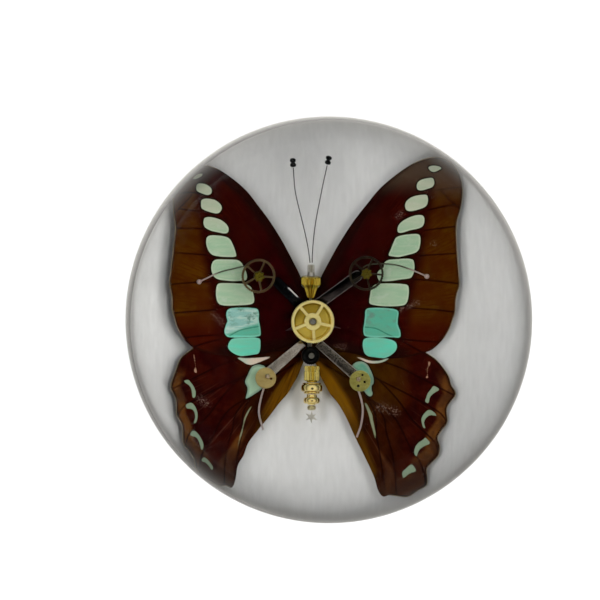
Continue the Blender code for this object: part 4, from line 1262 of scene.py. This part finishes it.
def studio():
    """Surroundings that differ with the kind of ray, chosen for the view from above.

    The specimen is lit by one sky, metal in the glass mirrors another, the glass mirrors dark surroundings,
    a pale room shows through it from the side, and the camera sees white. No real room does all of this.
    """
    world = bpy.data.worlds.new("studio")
    bpy.context.scene.world = world
    tree = Tree(world)
    x, y, z = tree.split(tree.add("TexCoord").outputs["Generated"])
    flat = tree.math("MAXIMUM", tree.math("SUBTRACT", 1.0, tree.times(z, z)), 0.001)
    sideways = tree.math("DIVIDE", tree.times(x, x), flat)

    def by_side(right, left, top, bottom):
        along_x = tree.step(x, -0.25, 0.25, left, right)
        along_y = tree.step(y, -0.25, 0.25, bottom, top)
        return tree.plus(tree.times(sideways, tree.math("SUBTRACT", along_x, along_y)), along_y)

    def between(share, low, high):
        return tree.plus(tree.times(share, tree.math("SUBTRACT", high, low)), low)

    from_zenith = tree.math("ARCCOSINE", tree.math("MINIMUM", z, 1.0))
    edge = by_side(*[math.radians(angle) for angle in LIGHT_EDGE])
    start = math.radians(LIGHT_START)
    share = tree.math("DIVIDE", tree.math("SUBTRACT", from_zenith, start),
                      tree.math("SUBTRACT", edge, start), True)
    rise = tree.math("MAXIMUM", z, 0.05)

    def across(value, angles):
        slopes = [math.tan(math.radians(angle)) for angle in angles]
        return tree.times(tree.step(value, *slopes[:2]), tree.step(value, *slopes[2:], 1.0, 0.0))

    def by_angle(angles, low=0.0, high=1.0):
        return tree.step(from_zenith, *[math.radians(angle) for angle in angles], low, high)

    lamps = tree.times(across(tree.math("ABSOLUTE", tree.math("DIVIDE", x, rise)), LAMP_ACROSS),
                       across(tree.math("DIVIDE", y, rise), LAMP_ALONG))
    bright = between(share, LIGHT_CENTRE, by_side(*LIGHT_LEVEL))
    bright = tree.plus(bright, tree.times(lamps, LAMP_LEVEL))
    low_down = tree.times(by_side(*LIGHT_BEYOND), by_angle(LIGHT_END, 1.0, 0.0))
    outside = tree.step(tree.math("SUBTRACT", from_zenith, edge), -0.02, 0.02)
    overhead = between(outside, bright, low_down)

    path = tree.add("LightPath").outputs
    camera_ray, through_glass = path["Is Camera Ray"], path["Is Transmission Ray"]
    surfaces = path["Transmission Depth"]       # glass surfaces that the ray has passed
    direct = tree.plus(tree.plus(camera_ray, path["Is Reflection Ray"]), through_glass)
    for_lamp = tree.math("LESS_THAN", direct, 0.5)
    after_diffuse = tree.math("GREATER_THAN", path["Diffuse Depth"], 0.5)
    from_inside = tree.math("GREATER_THAN", surfaces, 2.5)
    in_the_open = tree.times(tree.math("MAXIMUM", for_lamp, after_diffuse),
                             tree.math("LESS_THAN", surfaces, 0.5))
    from_metal = tree.times(from_inside, tree.math("SUBTRACT", 1.0, after_diffuse))
    ceiling = tree.times(by_angle(HOLE, HOLE_LEVEL, CEILING_LEVEL), by_angle(CEILING_EDGE, 1.0, CEILING_END))
    overhead = between(from_metal, overhead, ceiling)
    lights = tree.math("MAXIMUM", tree.math("MAXIMUM", for_lamp, after_diffuse), from_inside)
    lamp = between(in_the_open, overhead, FLOOR_LIGHT)
    downward = tree.math("DIVIDE", tree.math("SUBTRACT", TABLE_START, z), TABLE_START - TABLE_END, True)
    table = tree.times(tree.math("POWER", downward, 1.5), tree.step(y, -0.3, 0.3, *MIRRORED_TABLE))
    mirrored = tree.plus(table, MIRRORED_DARK)
    right_through = tree.times(through_glass, tree.math("LESS_THAN", surfaces, 2.5))
    behind = tree.times(right_through, by_angle(ROOM_START))
    mirrored = between(behind, mirrored, tree.step(z, *ROOM_HEIGHT, *ROOM_LEVEL))
    seen = tree.mix(lights, tree.mix(1.0, TABLE_TINT, mirrored, "MULTIPLY"),
                    tree.mix(1.0, (1.0, 1.0, 1.0), lamp, "MULTIPLY"))
    seen = tree.mix(camera_ray, seen, (1.0, 1.0, 1.0))
    background = tree.add("Background")
    tree.put(seen, background.inputs["Color"])
    background.inputs["Strength"].default_value = 1.0
    out = tree.add("OutputWorld")
    tree.put(background.outputs[0], out.inputs[0])


def camera():
    ahead = line_of_sight()
    right = Vector((0, 1, 0)).cross(-ahead).normalized()
    top = (-ahead).cross(right)
    half = PHOTO_SIZE / 2
    data = bpy.data.cameras.new("camera")
    data.angle = 2 * math.atan(half / PHOTO_DOME_RADIUS / math.sqrt((VIEW_DISTANCE / DOME_RADIUS) ** 2 - 1))
    data.clip_start = 0.01
    data.shift_x = (half - PHOTO_DOME_CENTRE[0]) / PHOTO_SIZE
    data.shift_y = (PHOTO_DOME_CENTRE[1] - half) / PHOTO_SIZE
    holder = bpy.data.objects.new("camera", data)
    bpy.context.collection.objects.link(holder)
    eye = Vector((0.0, 0.0, DOME_CENTRE_HEIGHT)) - ahead * VIEW_DISTANCE
    holder.matrix_world = (Matrix.Translation(eye * MM)
                           @ Matrix((right, top, -ahead)).transposed().to_4x4())
    bpy.context.scene.camera = holder


def render_settings():
    scene = bpy.context.scene
    scene.view_settings.view_transform = "Standard"
    scene.cycles.max_bounces = 16
    scene.cycles.transmission_bounces = 12
    scene.cycles.diffuse_bounces = 6
    scene.cycles.glossy_bounces = 8
    scene.cycles.blur_glossy = 0.0
    scene.cycles.caustics_reflective = True
    scene.cycles.caustics_refractive = True
    scene.cycles.sample_clamp_indirect = 0.0


# Metals: bright and dull tone, roughness, and what differs from the usual grain
METALS = {
    "pale_brass": ((0.90, 0.77, 0.30), (0.74, 0.60, 0.19), 0.40, dict(patches=0.2, lines=0.3, bare=0.6)),
    "gilt": ((0.80, 0.66, 0.20), (0.55, 0.42, 0.08), 0.16,
             dict(grain=(4.0, 0.3, 1.0), patches=0.3, lines=0.3)),
    "polished": ((0.98, 0.80, 0.33), (0.74, 0.55, 0.13), 0.12, dict(patches=0.3, lines=0.15)),
    "pale_gilt": ((0.72, 0.64, 0.36), (0.48, 0.40, 0.18), 0.2, {}),
    "crown": ((0.62, 0.46, 0.07), (0.36, 0.25, 0.025), 0.14, dict(grain=(4.0, 0.3, 1.0))),
    "dull_steel": ((0.34, 0.33, 0.28), (0.18, 0.17, 0.14), 0.32, {}),
    "dim_steel": ((0.12, 0.09, 0.09), (0.06, 0.04, 0.04), 0.32, {}),
    "pale_steel": ((0.66, 0.63, 0.54), (0.42, 0.40, 0.33), 0.3, {}),
    "wire": ((0.60, 0.50, 0.46), (0.36, 0.30, 0.27), 0.3, dict(bare=0.7)),
    "dark_wire": ((0.12, 0.115, 0.11), (0.06, 0.06, 0.055), 0.35, {}),
    "olive": ((0.15, 0.105, 0.05), (0.07, 0.05, 0.022), 0.30, {}),
    "black_wheel": ((0.048, 0.040, 0.024), (0.022, 0.018, 0.012), 0.35, {}),
    "hub_left": ((0.17, 0.14, 0.015), (0.07, 0.055, 0.006), 0.30, {}),
    "hub_right": ((0.20, 0.16, 0.02), (0.09, 0.07, 0.01), 0.30, {}),
    "disc_left": ((0.50, 0.385, 0.14), (0.33, 0.24, 0.08), 0.3, dict(bare=0.8)),
    "disc_right": ((0.54, 0.49, 0.13), (0.31, 0.28, 0.06), 0.3, dict(bare=0.8)),
    "disc_pivot": ((0.80, 0.66, 0.44), (0.45, 0.34, 0.24), 0.25, {}),
    "black": ((0.020, 0.020, 0.020), (0.006, 0.006, 0.006), 0.4, {}),
    "arm_lower_left": ((0.46, 0.41, 0.35), (0.22, 0.19, 0.15), 0.22,
                       dict(grain=(1.0, 6.0, 1.0), turn=-0.72, lines=0.8))}
# Arms: dark and worn tone, bevel, direction of the scratches, and what differs. The upper arms'
# near-black dark tones are painted shade; the bevel colours are partly worn edges and partly painted
# highlight, and the upper left arm's bar is a painted highlight
DARK_ARMS = {
    # Painted highlight on the bar stretch of this arm's bevel; its near-black tones are painted shade
    "arm_upper_left": (((0.004, 0.004, 0.005), (0.010, 0.009, 0.009)), (0.95, 0.92, 0.88), 0.77,
                       dict(bar=(4.7, 6.3), scraped=-40.0)),
    "arm_upper_right": (((0.003, 0.002, 0.002), (0.085, 0.070, 0.062)), (0.30, 0.25, 0.23), -0.64,
                        dict(scraped=4.2)),
    "arm_lower_right": (((0.016, 0.014, 0.011), (0.23, 0.20, 0.16)), (0.50, 0.45, 0.40), 0.7,
                        dict(scraped=20.0, roughness=0.26))}


def finishes():
    made = {"gilt_disc": disc_material(), "foreleg": leg_material()}
    for make, looks in ((metal, METALS), (arm_material, DARK_ARMS)):
        for name, (*tones, options) in looks.items():
            made[name] = make(name, *tones, **options)
    return made


def disc_material():
    """Gilt disc with painted shade: darker towards the head, lighter towards the lower right."""
    made, tree = new_material("gilt_disc")
    x, y, _ = tree.split(tree.coords())
    # Painted shade: the disc grows lighter towards the lower right and darker towards the head
    painted_shade_gradient = tree.plus(tree.times(tree.plus(x, -SPECIMEN_X), 0.35), tree.times(y, -0.9))
    grain = tree.noise(tree.coords((3000.0, 500.0, 1000.0)), 1.0, 3.0, 0.6)
    share = tree.plus(tree.step(painted_shade_gradient, -2.2, 1.2), tree.times(tree.math("SUBTRACT", grain, 0.5), 0.3))
    colour = tree.mix(tree.math("MULTIPLY", share, 1.0, True), (0.40, 0.27, 0.02), (0.72, 0.53, 0.08))
    tree.shader(Base_Color=colour, Metallic=0.75, Roughness=tree.plus(0.32, tree.times(grain, 0.1)))
    return made


finish = finishes()
glass_dome(glass_material())
backing_disc(card_material())
forewing_finish, hindwing_finish = forewing_material(), hindwing_material()
for wing_side in ("left", "right"):
    forewing(wing_side, forewing_finish)
    hindwing(wing_side, hindwing_finish)
wheels(finish)
lower_discs(finish)
collar(finish)
arms(finish)
head(finish)
abdomen(finish)
wires(finish)
floor()
studio()
camera()
render_settings()
